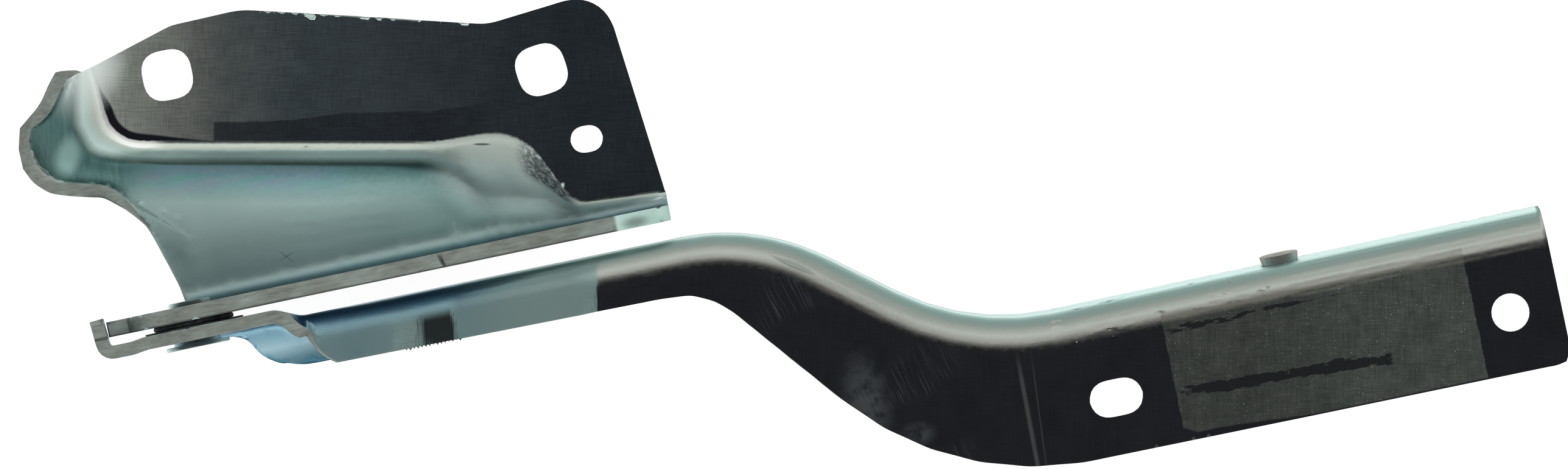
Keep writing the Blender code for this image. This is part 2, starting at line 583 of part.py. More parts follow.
def hood_arm(material):
    """Stop tab, pivot plate, web, lip and top flange drawn as one skin, then thickened and trimmed."""
    edge = rounded_path(ARM_FREE_EDGE, 10)
    points, faces, columns = [], [], []
    for spot, heading in arm_stations():
        x = spot.x
        if SQUARE_FROM_X < x < SQUARE_TO_X:
            heading = 0.0
        heading -= math.radians(along(ARM_SKEW, x))
        way = Vector((math.sin(heading), -math.cos(heading)))
        lean = math.radians(along(ARM_LEAN, x))
        radius = along(ARM_BEND_RADIUS, x)
        fold = max(math.radians(along(TOP_FOLD, x)) - lean, 0.0)
        low_z = along(WEB_LOW_Z, x)
        web = (along(ARM_TOP_Z, x) - radius * (1 - math.sin(lean)) - low_z) / math.cos(lean)
        arc = radius * fold
        if x < TOP_TRIM_END_X:
            top = along(TOP_TRIM, x)
        else:
            across = web * math.sin(lean) + radius * math.cos(lean)
            flange = reach_to(edge, spot, way) - across
            inset = max(x - (ARM_END_X - ARM_CORNER), 0.0)
            flange -= ARM_CORNER - math.sqrt(max(ARM_CORNER ** 2 - inset ** 2, 0.0))
            top = arc + flange
        lip_fold = math.radians(along(LIP_FOLD, x))
        lip = along(LIP_TRIM, x)
        upper = Section(math.pi / 2 - lean)
        upper.add(web)
        upper.add(max(radius * fold, 1e-6) if fold else top, -fold)
        upper.add(TAIL)
        lower = Section(-math.pi / 2 - lean)
        lower.add(LIP_RADIUS * lip_fold if lip_fold else lip, lip_fold)
        lower.add(TAIL)
        bend_end = min(arc if fold else 0.9 * top, 0.9 * top)
        lip_end = min(LIP_RADIUS * lip_fold if lip_fold else 0.9 * lip, 0.9 * lip)
        column = []
        for s in reversed(row_places([0.0, lip_end, lip], (4, 1))[1:]):
            h, z = lower.at(s)
            place = spot + way * h
            column.append((place.x, place.y, low_z + z))
        for s in row_places([0.0, web, web + bend_end, web + top], (2, 6, 2)):
            h, z = upper.at(s)
            place = spot + way * h
            column.append((place.x, place.y, low_z + z))
        columns.append(range(len(points), len(points) + len(column)))
        points += column
    for left, right in zip(columns, columns[1:]):
        for i in range(len(left) - 1):
            faces.append((left[i], left[i + 1], right[i + 1], right[i]))
    arm = add_object("hood_arm", mesh_from("hood_arm", points, faces), material)
    thicken(arm, ARM_SHEET)

    for i, outline in enumerate(arm_scrap()):
        tool = prism("arm_trim", outline, "Y", ARM_FACE_Y - ARM_SHEET - 3.5, TAB_TIP_Y + 2.0)
        cut_with(arm, f"arm_trim_{i + 1}", tool)
    bore = arc_points(SHOULDER_RADIUS + BUSH_WALL + 2 * BORE_GAP, 0.0, 360.0, ROUND_SIDES + 1)[:-1]
    cut_with(arm, "bush_bore", prism("bush_bore", bore, "Y", ARM_FACE_Y - CUT_DEPTH, ARM_FACE_Y + CUT_DEPTH))
    top_z = ARM_TOP_Z[-1][1]
    slot = rounded_box(SLOT_CENTRE, SLOT_SIZE, SLOT_SIZE[1] / 2 - 0.01, 0.0)
    cut_with(arm, "slot", prism("slot", slot, "Z", top_z - CUT_DEPTH, top_z + CUT_DEPTH))
    hole = [Vector(ROUND_HOLE_CENTRE) + Vector(p)
            for p in arc_points(ROUND_HOLE_DIAMETER / 2, 0.0, 360.0, ROUND_SIDES // 2 + 1)[:-1]]
    cut_with(arm, "round_hole", prism("round_hole", hole, "Z", top_z - CUT_DEPTH, top_z + CUT_DEPTH))
    bore_radius = STUD_SHANK_RADIUS + BORE_GAP
    profile = [(0.0, CUT_DEPTH), (bore_radius, CUT_DEPTH), (bore_radius, -CUT_DEPTH), (0.0, -CUT_DEPTH)]
    bore = turned("stud_bore", profile, *stud_place(), None)
    bore.hide_render = True
    bore.display_type = "WIRE"
    cut = arm.modifiers.new("stud_bore", "BOOLEAN")
    cut.object = bore
    return arm


def arm_scrap():
    """Sheet that the trim tools take away above and below the strap that ends in the tab."""
    fillet = 2.5
    left = TAB_FACE_X - ARM_SHEET - 7.0
    clear = ARM_BOSS_RADIUS + 8.0
    meet = -math.sqrt(ARM_BOSS_RADIUS ** 2 - TAB_HIGH_Z ** 2)
    start = math.degrees(math.atan2(TAB_HIGH_Z, meet))
    past = polar(ARM_BOSS_RADIUS, start - 14.0)
    corners = [(left, TAB_HIGH_Z, 0.0), (meet - 0.6, TAB_HIGH_Z, fillet), (*past, 0.0)]
    upper = [tuple(spot) for spot, _ in rounded_path(corners, 4)]
    upper += arc_points(ARM_BOSS_RADIUS, start - 16.0, 90.0, 12)
    upper += [(STRAP_TOP_END_X, ARM_BOSS_RADIUS), (STRAP_TOP_END_X, clear), (left, clear)]
    meet = -math.sqrt(ARM_BOSS_RADIUS ** 2 - TAB_LOW_Z ** 2)
    start = 197.0
    past = polar(ARM_BOSS_RADIUS, start)
    corners = [(left, TAB_LOW_Z, 0.0), (meet - 0.4, TAB_LOW_Z, fillet), (*past, 0.0)]
    lower = [tuple(spot) for spot, _ in rounded_path(corners, 4)]
    lower += arc_points(ARM_BOSS_RADIUS, start + 2.0, BOSS_END_ANGLE, 18)
    lower += [(polar(ARM_BOSS_RADIUS, BOSS_END_ANGLE)[0], -clear), (left, -clear)]
    return upper, lower


# Pivot stack and stud

def stud_place():
    """Centre of the stud on the web's outer face and its turn, square to the leaning web."""
    guide = rounded_path(ARM_GUIDE)
    face = along([(spot.x, spot.y) for spot, _ in guide[-3:]], STUD_X)
    lean = math.radians(along(ARM_LEAN, STUD_X))
    y = face - (STUD_Z - along(WEB_LOW_Z, STUD_X)) * math.tan(lean)
    return Vector((STUD_X, y, STUD_Z)), Matrix.Rotation(lean, 4, "X")


def small_parts(zinc, black, bronze):
    """Rivet, washers, bush and stud, each turned from its own profile."""
    here = (Vector((0.0, 0.0, 0.0)), Matrix.Identity(4))
    arm_back = ARM_FACE_Y - ARM_SHEET
    head_top = arm_back - HEAD_PLAY
    head_low = head_top - HEAD_THICKNESS
    head_radius = SHOULDER_RADIUS + HEAD_RIM
    upset = BODY_SHEET + SEAT_GAP
    upset_radius = TENON_RADIUS + UPSET_RIM
    turned("pivot_rivet", [
        (0.0, upset + UPSET_HEIGHT), (upset_radius - 0.9, upset + UPSET_HEIGHT),
        (upset_radius - 0.2, upset + 0.6 * UPSET_HEIGHT), (upset_radius, upset), (TENON_RADIUS, upset),
        (TENON_RADIUS, -SEAT_GAP), (SHOULDER_RADIUS, -SEAT_GAP), (SHOULDER_RADIUS, head_top),
        (head_radius - 0.15, head_top), (head_radius, head_top - 0.15), (head_radius - 0.1, head_low + 0.3),
        (head_radius - 0.6, head_low), (0.0, head_low)], *here, zinc)
    spacer_low = -SEAT_GAP - SPACER_THICKNESS
    bore = SHOULDER_RADIUS + BORE_GAP
    turned("spacer_washer", [
        (bore, -SEAT_GAP), (SPACER_RADIUS - 0.2, -SEAT_GAP), (SPACER_RADIUS, -SEAT_GAP - 0.25),
        (SPACER_RADIUS, spacer_low + 0.25), (SPACER_RADIUS - 0.2, spacer_low),
        (bore, spacer_low)], *here, black)
    washer_top = spacer_low - SEAT_GAP
    washer_low = ARM_FACE_Y + SEAT_GAP
    turned("thin_washer", [
        (bore, washer_top), (THIN_WASHER_RADIUS, washer_top), (THIN_WASHER_RADIUS, washer_low),
        (bore, washer_low)], *here, black)
    sleeve = bore + BUSH_WALL
    turned("pivot_bush", [
        (bore, ARM_FACE_Y - SEAT_GAP), (sleeve - BUSH_CHAMFER, ARM_FACE_Y - SEAT_GAP),
        (sleeve, ARM_FACE_Y - SEAT_GAP - BUSH_CHAMFER), (sleeve, arm_back + BUSH_CHAMFER),
        (sleeve - BUSH_CHAMFER, arm_back), (bore, arm_back)], *here, bronze)
    back = -ARM_SHEET - SEAT_GAP
    turned("arm_stud", [
        (0.0, SEAT_GAP + STUD_HEAD_HEIGHT + 0.15), (1.1, SEAT_GAP + STUD_HEAD_HEIGHT + 0.15),
        (1.5, SEAT_GAP + STUD_HEAD_HEIGHT), (STUD_HEAD_RADIUS - 0.2, SEAT_GAP + STUD_HEAD_HEIGHT),
        (STUD_HEAD_RADIUS, SEAT_GAP + STUD_HEAD_HEIGHT - 0.2), (STUD_HEAD_RADIUS - 0.3, SEAT_GAP),
        (STUD_SHANK_RADIUS, SEAT_GAP), (STUD_SHANK_RADIUS, back), (STUD_RIVET_RADIUS, back),
        (STUD_RIVET_RADIUS - 0.3, back - 0.7 * STUD_RIVET_HEIGHT),
        (STUD_RIVET_RADIUS - 1.2, back - STUD_RIVET_HEIGHT), (0.0, back - STUD_RIVET_HEIGHT)],
        *stud_place(), zinc)


def build():
    for thing in list(bpy.data.objects):
        bpy.data.objects.remove(thing, do_unlink=True)
    zinc = make_material("zinc_plate", (0.30, 0.32, 0.32), 0.28, 1.0)
    black = make_material("black_nylon", (0.012, 0.016, 0.018), 0.45, 0.0)
    bronze = make_material("bush_lining", (0.32, 0.24, 0.13), 0.4, 1.0)
    body_bracket(zinc)
    hood_arm(zinc)
    small_parts(zinc, black, bronze)


build()
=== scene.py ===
import json
import math

import bmesh
import bpy
import numpy as np
from mathutils import Matrix, Vector
from mathutils.bvhtree import BVHTree


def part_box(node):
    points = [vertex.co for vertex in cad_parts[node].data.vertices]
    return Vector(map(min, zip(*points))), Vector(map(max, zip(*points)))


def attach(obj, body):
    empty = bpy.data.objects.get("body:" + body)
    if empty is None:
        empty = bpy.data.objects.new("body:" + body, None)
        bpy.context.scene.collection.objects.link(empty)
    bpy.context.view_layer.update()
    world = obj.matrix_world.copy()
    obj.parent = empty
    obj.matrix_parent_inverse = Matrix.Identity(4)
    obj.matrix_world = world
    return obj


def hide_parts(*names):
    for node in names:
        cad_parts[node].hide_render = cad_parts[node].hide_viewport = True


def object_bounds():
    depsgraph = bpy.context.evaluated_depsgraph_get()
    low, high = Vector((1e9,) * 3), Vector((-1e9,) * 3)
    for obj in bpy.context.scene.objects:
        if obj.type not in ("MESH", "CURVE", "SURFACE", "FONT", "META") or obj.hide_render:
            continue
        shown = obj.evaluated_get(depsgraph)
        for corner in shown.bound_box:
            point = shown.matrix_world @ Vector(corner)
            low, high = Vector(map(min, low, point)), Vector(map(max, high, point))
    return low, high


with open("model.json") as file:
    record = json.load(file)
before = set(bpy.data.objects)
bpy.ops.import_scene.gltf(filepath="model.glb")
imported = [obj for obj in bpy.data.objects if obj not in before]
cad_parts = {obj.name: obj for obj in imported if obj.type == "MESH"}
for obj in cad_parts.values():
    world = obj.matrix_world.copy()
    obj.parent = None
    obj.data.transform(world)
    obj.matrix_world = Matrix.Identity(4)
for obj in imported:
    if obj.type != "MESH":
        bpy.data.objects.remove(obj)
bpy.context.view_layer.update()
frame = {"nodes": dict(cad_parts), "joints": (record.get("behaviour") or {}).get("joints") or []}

mm = 0.001
pivot = Vector(frame["joints"][0]["pos_m"])     # the design lines below are in millimetres from here
bodySide, bonnetSide = "body_side", "bonnet_side"
print("frame loaded")


# Small helpers

def tone(red, green, blue):
    # an sRGB colour from 0 to 255, as the linear colour that shaders take
    def linear(value):
        value /= 255
        return value / 12.92 if value <= 0.04045 else ((value + 0.055) / 1.055) ** 2.4
    return (linear(red), linear(green), linear(blue), 1.0)


def link(thing):
    bpy.context.scene.collection.objects.link(thing)
    return thing


def roundedLine(corners, steps=6):
    # points along a line whose corners (x, y, radius) are rounded
    spots = [Vector(corner[:2]) for corner in corners]
    line = [spots[0]]
    for i in range(1, len(spots) - 1):
        into = (spots[i] - spots[i - 1]).normalized()
        out = (spots[i + 1] - spots[i]).normalized()
        turn = math.atan2(into.x * out.y - into.y * out.x, into.dot(out))
        radius = corners[i][2]
        start = spots[i] - into * radius * math.tan(abs(turn) / 2)
        centre = start + Vector((-into.y, into.x)) * radius * math.copysign(1, turn)
        for k in range(steps + 1):
            line.append(centre + Matrix.Rotation(turn * k / steps, 2) @ (start - centre))
    line.append(spots[-1])
    return np.array([tuple(spot) for spot in line])


def distanceTo(line, places):
    # shortest distance in plan from each place to the line
    best = np.full(len(places), np.inf)
    for a, b in zip(line, line[1:]):
        leg = b - a
        share = np.clip(((places - a) @ leg) / max(leg @ leg, 1e-9), 0, 1)
        best = np.minimum(best, np.linalg.norm(places - a - share[:, None] * leg, axis=1))
    return best


def inside(outline, places):
    # which places lie inside a closed outline
    hits = np.zeros(len(places), bool)
    for a, b in zip(outline, np.roll(outline, -1, axis=0)):
        if a[1] == b[1]:
            continue
        crosses = (a[1] > places[:, 1]) != (b[1] > places[:, 1])
        hits ^= crosses & (places[:, 0] < a[0] + (places[:, 1] - a[1]) * (b[0] - a[0]) / (b[1] - a[1]))
    return hits


# Materials

zincLook = {
    "rollTurn": 11.8,               # the sheet's rolling marks lie this far off the hinge's length
    "grainContrast": 0.30,
    "flatRoughness": 0.38,
    "drawnRoughness": 0.5,          # where the sheet was drawn over the die
}


class Nodes:
    # adds nodes to a tree, with inputs linked or set
    def __init__(self, tree):
        self.tree = tree

    def node(self, kind, inputs={}, **settings):
        made = self.tree.nodes.new(kind)
        for key, value in settings.items():
            setattr(made, key, value)
        for key, value in inputs.items():
            if isinstance(value, bpy.types.NodeSocket):
                self.tree.links.new(value, made.inputs[key])
            else:
                made.inputs[key].default_value = value
        return made

    def sum(self, how, *values, clamp=False):
        inputs = dict(enumerate(values))
        return self.node("ShaderNodeMath", inputs, operation=how, use_clamp=clamp).outputs[0]


class Recipe(Nodes):
    # a material's nodes; every method gives back an output socket
    def __init__(self, name):
        self.material = bpy.data.materials.new(name)
        self.material.use_nodes = True
        super().__init__(self.material.node_tree)
        self.tree.nodes.clear()
        where = self.node("ShaderNodeTexCoord")
        self.normal = where.outputs["Normal"]
        scaled = {"Vector": where.outputs["Object"], "Location": -pivot / mm, "Scale": (1 / mm,) * 3}
        self.place = self.node("ShaderNodeMapping", scaled).outputs[0]       # millimetres from the pivot
        self.up = self.node("ShaderNodeSeparateXYZ", {"Vector": self.normal}).outputs[2]
        split = self.node("ShaderNodeSeparateXYZ", {"Vector": self.place})
        self.x, self.y, self.z = split.outputs
        lean = math.radians(zincLook["rollTurn"])
        across = self.sum("MULTIPLY", self.y, -math.sin(lean))
        self.u = self.sum("MULTIPLY_ADD", self.x, math.cos(lean), across)       # across the sheet's rolling marks

    def fade(self, value, low, high, smooth=True):
        # 0 below low and 1 above high, or the other way round if low is the larger
        kind = "SMOOTHSTEP" if smooth else "LINEAR"
        inputs = {0: value, 1: low, 2: high}
        return self.node("ShaderNodeMapRange", inputs, interpolation_type=kind).outputs[0]

    def between(self, value, low, high, soft):
        rise = self.fade(value, low - soft, low + soft)
        return self.sum("MULTIPLY", rise, self.fade(value, high + soft, high - soft))

    def mix(self, share, first, second, how="MIX"):
        inputs = {0: share, 6: first, 7: second}
        return self.node("ShaderNodeMix", inputs, data_type="RGBA", blend_type=how).outputs[2]

    def ramp(self, value, stops):
        ramp = self.node("ShaderNodeValToRGB", {0: value})
        band = ramp.color_ramp
        band.interpolation = "LINEAR"
        while len(band.elements) < len(stops):
            band.elements.new(1.0)
        for element, (spot, colour) in zip(band.elements, stops):
            element.position = spot
            element.color = colour
        return ramp.outputs[0]

    def noise(self, size, detail=3.0, rough=0.55, stretch=(1, 1, 1), turn=0.0, shift=0.0, twist=0.0):
        # size is the width of a blot in millimetres, longer along an axis by its stretch
        scale = tuple(1 / (size * s) for s in stretch)
        inputs = {"Vector": self.place, "Rotation": (0, 0, math.radians(turn)), "Location": (shift, shift, shift)}
        turned = self.node("ShaderNodeMapping", inputs).outputs[0]
        sized = self.node("ShaderNodeMapping", {"Vector": turned, "Scale": scale}).outputs[0]
        inputs = {"Vector": sized, "Scale": 1.0, "Detail": detail, "Roughness": rough, "Distortion": twist}
        return self.node("ShaderNodeTexNoise", inputs).outputs[0]

    def mark(self, x, y, length, width, turn=0.0, soft=0.4):
        # an oval mark seen from above, 1 in its middle
        inputs = {"Vector": self.place, "Location": (x, y, 0), "Rotation": (0, 0, math.radians(turn)),
                  "Scale": (length / 2, width / 2, 1000)}
        local = self.node("ShaderNodeMapping", inputs, vector_type="TEXTURE").outputs[0]
        away = self.node("ShaderNodeVectorMath", {0: local}, operation="LENGTH").outputs["Value"]
        return self.fade(away, 1 + soft, 1 - soft)

    def product(self, *shares):
        total = shares[0]
        for share in shares[1:]:
            total = self.sum("MULTIPLY", total, share)
        return total

    def jitter(self, noise, amount, value):
        # value moved by up to half of amount either way
        return self.sum("MULTIPLY_ADD", self.sum("SUBTRACT", noise, 0.5), amount, value)

    def attribute(self, name):
        return self.node("ShaderNodeAttribute", attribute_name=name).outputs["Fac"]

    def tilt(self):
        # degrees between the surface and level, over 90
        up = self.sum("MINIMUM", self.sum("ABSOLUTE", self.up), 1.0)
        return self.sum("DIVIDE", self.sum("ARCCOSINE", up), math.pi / 2)

    def finish(self, colour, roughness, height=None, depth=0.05, metallic=1.0, coat=0.0):
        inputs = {"Base Color": colour, "Roughness": roughness, "Metallic": metallic, "Coat Weight": coat}
        if height is not None:
            bump = self.node("ShaderNodeBump", {"Height": height, "Distance": depth * mm, "Strength": 1.0})
            inputs["Normal"] = bump.outputs[0]
        shader = self.node("ShaderNodeBsdfPrincipled", inputs)
        self.node("ShaderNodeOutputMaterial", {"Surface": shader.outputs[0]})
        return self.material


def brushedGrain(recipe):
    # crossed hairlines of the rolled sheet, about 1 on average
    turn = zincLook["rollTurn"]
    along = recipe.noise(0.22, 2.0, stretch=(22, 1, 1), turn=turn)
    across = recipe.noise(0.20, 2.0, stretch=(1, 26, 1), turn=turn, shift=9.0)
    cloud = recipe.noise(7.0, 3.0)
    total = recipe.sum("ADD", recipe.sum("ADD", along, across), recipe.sum("MULTIPLY", cloud, 0.5))
    amount = zincLook["grainContrast"]
    return recipe.sum("MULTIPLY_ADD", recipe.sum("SUBTRACT", total, 1.25), amount * 3, 1.0)


def scratches(recipe, turn, shift, wanted=0.68):
    # sparse long hairs, 0 or near 1
    hair = recipe.noise(0.16, 0.0, stretch=(1, 60, 1), turn=turn, shift=shift)
    patch = recipe.noise(14.0, 1.0, shift=shift)
    line = recipe.fade(hair, wanted, wanted + 0.1)
    return recipe.sum("MULTIPLY", line, recipe.fade(patch, 0.5, 0.68))


def scale(recipe, colour, factor):
    # multiply a colour by a number socket
    grey = recipe.node("ShaderNodeCombineXYZ", {0: factor, 1: factor, 2: factor}).outputs[0]
    return recipe.mix(1.0, colour, grey, "MULTIPLY")


def plainUnder(recipe, colour, grain):
    # the sheets' undersides are plain plate with soft clouds
    cloud = recipe.noise(11.0, 4.0, shift=7.0)
    plain = recipe.ramp(cloud, [(0.32, tone(112, 119, 119)), (0.5, tone(136, 143, 142)), (0.68, tone(160, 166, 163))])
    return recipe.mix(recipe.fade(recipe.up, 0.06, -0.12), colour, scale(recipe, plain, grain))


def shearedTone(recipe, x, y):
    # calm grey-beige of a blanked edge
    torn = recipe.noise(0.7, 4.0, 0.6, stretch=(6, 1, 1), twist=0.3)
    cloud = recipe.noise(9.0, 2.0, shift=4.0)
    value = recipe.sum("MULTIPLY_ADD", cloud, 0.5, recipe.sum("MULTIPLY", torn, 0.5))
    calm = recipe.ramp(value, [
        (0.38, tone(116, 120, 114)), (0.5, tone(132, 138, 132)), (0.6, tone(142, 151, 145)),
        (0.7, tone(158, 170, 164))])
    # the punch rolled the plate's upper edge over, and a dark line on its outer side is painted as the rollover's dark
    # reflection
    rolled = recipe.product(recipe.between(y, -0.4, 0.35, 0.15), recipe.fade(recipe.z, -4.0, -2.0),
                            recipe.fade(recipe.x, 112.0, 106.0))
    calm = recipe.mix(recipe.sum("MULTIPLY", rolled, 0.7), calm, tone(60, 62, 62))
    return calm


# Fine copies of the two pressings: the solids split small, their facets rounded off

sheetCopy = {
    "longestEdge": 1.7,             # of the fine mesh, mm
    "sharpAngle": 34.0,             # degrees; only sheared rims and hole rims are sharper
    "smoothRounds": 44,
    "rimRounds": 5,
    "speck": 0.02,                  # a face smaller than this makes no rim, square mm
    "sliver": 0.15,                 # vertices closer than this are one, mm
    "edgeRound": 0.22,
}


def relax(places, pairs, moving, rounds):
    # each moving point goes towards the mean of its partners and back, which keeps the form but rounds facets off
    count = np.maximum(np.bincount(pairs[:, 0], minlength=len(places)), 1)[:, None]
    for i in range(2 * rounds):
        total = np.zeros_like(places)
        np.add.at(total, pairs[:, 0], places[pairs[:, 1]])
        step = 0.5 if i % 2 == 0 else -0.52
        places[moving] += (step * (total / count - places))[moving]


def voteBySide(mesh, sheared):
    # faces that meet smoothly are one side of the sheet or one cut edge, so a small stretch votes as one
    sharp = math.radians(sheetCopy["sharpAngle"])
    whole = sum(face.calc_area() for face in mesh.faces)
    waiting = set(mesh.faces)
    while waiting:
        group = [waiting.pop()]
        for face in group:
            for edge in face.edges:
                if edge.calc_face_angle(math.pi) < sharp:
                    more = [other for other in edge.link_faces if other in waiting]
                    waiting.difference_update(more)
                    group.extend(more)
        area = sum(face.calc_area() for face in group)
        cut = area < 0.2 * whole and sum(face.calc_area() * face[sheared] for face in group) > 0.35 * area
        for face in group:
            face[sheared] = float(cut)


def calmEdges(mesh, sharp):
    mesh.normal_update()
    return [edge for edge in mesh.edges if edge.calc_face_angle(9) < sharp]


def fineCopy(node, name, sheet):
    mesh = bmesh.new()
    mesh.from_mesh(frame["nodes"][node].data)
    bmesh.ops.remove_doubles(mesh, verts=mesh.verts, dist=2e-6)
    bmesh.ops.dissolve_degenerate(mesh, edges=mesh.edges, dist=2e-6)
    bmesh.ops.triangulate(mesh, faces=mesh.faces)
    mesh.normal_update()
    tree = BVHTree.FromBMesh(mesh)
    sheared = mesh.faces.layers.float.new("sheared")
    for face in mesh.faces:
        start = face.calc_center_median() - face.normal * 1e-5
        through = tree.ray_cast(start, -face.normal)[3]
        face[sheared] = 1.0 if through is None or through > 1.35 * sheet * mm else 0.0
    voteBySide(mesh, sheared)
    for _ in range(9):
        longEdges = [edge for edge in mesh.edges if edge.calc_length() > sheetCopy["longestEdge"] * mm]
        if not longEdges:
            break
        bmesh.ops.subdivide_edges(mesh, edges=longEdges, cuts=1)
        bmesh.ops.triangulate(mesh, faces=[face for face in mesh.faces if len(face.verts) > 3])
    mesh.normal_update()
    sharp = math.radians(sheetCopy["sharpAngle"])
    # thin slivers on the smooth faces would show as blots
    bmesh.ops.beautify_fill(mesh, faces=mesh.faces, edges=calmEdges(mesh, sharp), method="AREA")
    calm = [vert for vert in mesh.verts if all(edge.calc_face_angle(9) < sharp for edge in vert.link_edges)]
    bmesh.ops.remove_doubles(mesh, verts=calm, dist=sheetCopy["sliver"] * mm)
    bmesh.ops.beautify_fill(mesh, faces=mesh.faces, edges=calmEdges(mesh, sharp), method="AREA")
    mesh.normal_update()
    mesh.verts.index_update()
    places = np.array([vert.co for vert in mesh.verts])
    free = np.ones(len(places), bool)
    rims = np.zeros(len(places), bool)
    pairs = [[vert.index for vert in edge.verts] for edge in mesh.edges]
    rimPairs = []
    for vert in mesh.verts:
        rim = [edge.other_vert(vert) for edge in vert.link_edges if edge.calc_face_angle(0.0) > sharp
               and min(face.calc_area() for face in edge.link_faces) > sheetCopy["speck"] * mm * mm]
        free[vert.index] = not rim
        if len(rim) == 2 and (vert.co - rim[0].co).angle(rim[1].co - vert.co, 9) < math.radians(30):
            rims[vert.index] = True
            rimPairs += [[vert.index, other.index] for other in rim]
    relax(places, np.array(pairs + [pair[::-1] for pair in pairs]), free, sheetCopy["smoothRounds"])
    relax(places, np.array(rimPairs), rims, sheetCopy["rimRounds"])
    for vert, place in zip(mesh.verts, places):
        vert.co = place
    data = bpy.data.meshes.new(name)
    mesh.to_mesh(data)
    mesh.free()
    data.shade_smooth()
    data.set_sharp_from_angle(angle=sharp)
    piece = link(bpy.data.objects.new(name, data))
    rounding = piece.modifiers.new("edge rounding", "BEVEL")
    rounding.width = sheetCopy["edgeRound"] * mm
    rounding.segments = 2
    rounding.limit_method = "ANGLE"
    rounding.angle_limit = math.radians(48)
    print(name, "has", len(data.polygons), "faces")
    return piece


def setPaint(piece, name, values):
    layer = piece.data.attributes.new(name, "FLOAT", "POINT")
    layer.data.foreach_set("value", values.astype(np.float32))


# Body bracket

bracketLines = {                    # seen from above, with corner radii
    "ridge": [(-10.9, 61.3, 0), (-9.4, 43.8, 8), (62.5, 28.7, 10), (81.6, 28.1, 13), (90.8, 8.5, 5),
              (111.5, 6.8, 0)],
    "valley": [(-15.2, 60.4, 0), (-19.4, 49.4, 6), (-16.6, 41.0, 5), (-5.8, 37.2, 6), (60.0, 23.3, 9),
               (70.5, 14.2, 8), (84.0, 10.8, 8), (91.0, 5.4, 3), (111.5, 4.2, 0)],
    "foot": [(-1.6, 3.6, 0), (111.5, 3.4, 0)],
    "flangeLevel": -4.0,
    "flangeReach": 12.0,            # the paint coordinate runs this far in from the ridge
    "slopeReach": 30.0,             # and this far on from the valley
}


def bracketPaint(piece):
    # fall is 0 to 1 over the flange up to the ridge, 2 at the valley and 3 far down the slope
    places = (np.array([vert.co for vert in piece.data.vertices]) - np.array(pivot)) / mm
    plan = places[:, :2]
    ridge = roundedLine(bracketLines["ridge"])
    valley = roundedLine(bracketLines["valley"])
    toRidge = distanceTo(ridge, plan)
    toValley = distanceTo(valley, plan)
    onWall = inside(np.vstack([ridge, valley[::-1]]), plan)
    onFlange = places[:, 2] > bracketLines["flangeLevel"] - 0.03
    onFlange &= (plan[:, 1] > 6.5) & ~onWall
    fall = 2 + np.clip(toValley / bracketLines["slopeReach"], 0, 1)
    fall = np.where(onWall, 1 + toRidge / np.maximum(toRidge + toValley, 1e-6), fall)
    fall = np.where(onFlange, 1 - np.clip(toRidge / bracketLines["flangeReach"], 0, 1), fall)
    setPaint(piece, "fall", fall / 3)
    setPaint(piece, "foot", distanceTo(np.array([spot[:2] for spot in bracketLines["foot"]]), plan))


def fallStops(stops):
    return [(spot / 3, colour) for spot, colour in stops]


def flangeTone(recipe, grain):
    # rolled grain on the level flange, painted near black to the right as its dark reflection and paler towards the
    # left, with a dark stain along the ridge and a crescent round its corner
    fall = recipe.attribute("fall")
    alongJitter = recipe.noise(9.0, 3.0, shift=5.0)
    along = recipe.jitter(alongJitter, 0.16, recipe.fade(recipe.u, -26.0, 84.0, False))
    colour = recipe.ramp(along, [
        (0.0, tone(156, 162, 157)), (0.1, tone(119, 124, 118)), (0.2, tone(94, 97, 93)), (0.32, tone(69, 74, 74)),
        (0.45, tone(54, 61, 64)), (0.7, tone(45, 51, 55)), (1.0, tone(35, 40, 44))])
    colour = scale(recipe, colour, grain)
    edge = recipe.noise(3.4, 3.0, stretch=(3, 1, 1))
    wide = recipe.sum("MULTIPLY_ADD", recipe.fade(recipe.x, 24.0, 48.0), 2.3, 4.4)
    wide = recipe.jitter(edge, 2.2, wide)
    line = recipe.sum("MULTIPLY_ADD", wide, -1 / 36, 0.3333)
    stain = recipe.fade(recipe.sum("SUBTRACT", fall, line), -0.006, 0.006)
    stain = recipe.product(stain, recipe.fade(recipe.u, 4.3, 4.9), recipe.fade(recipe.u, 76.0, 56.0), 0.85)
    colour = recipe.mix(stain, colour, scale(recipe, tone(32, 36, 40), grain))
    thick = recipe.product(recipe.fade(recipe.y, 58.0, 50.0), recipe.fade(recipe.x, 13.0, -7.0), 1.7)
    line = recipe.sum("MULTIPLY_ADD", thick, -1 / 36, 0.3333)
    crescent = recipe.fade(recipe.sum("SUBTRACT", fall, line), -0.012, 0.006)
    return recipe.mix(recipe.product(crescent, recipe.fade(recipe.x, 13.0, 9.0)), colour, tone(24, 24, 30))


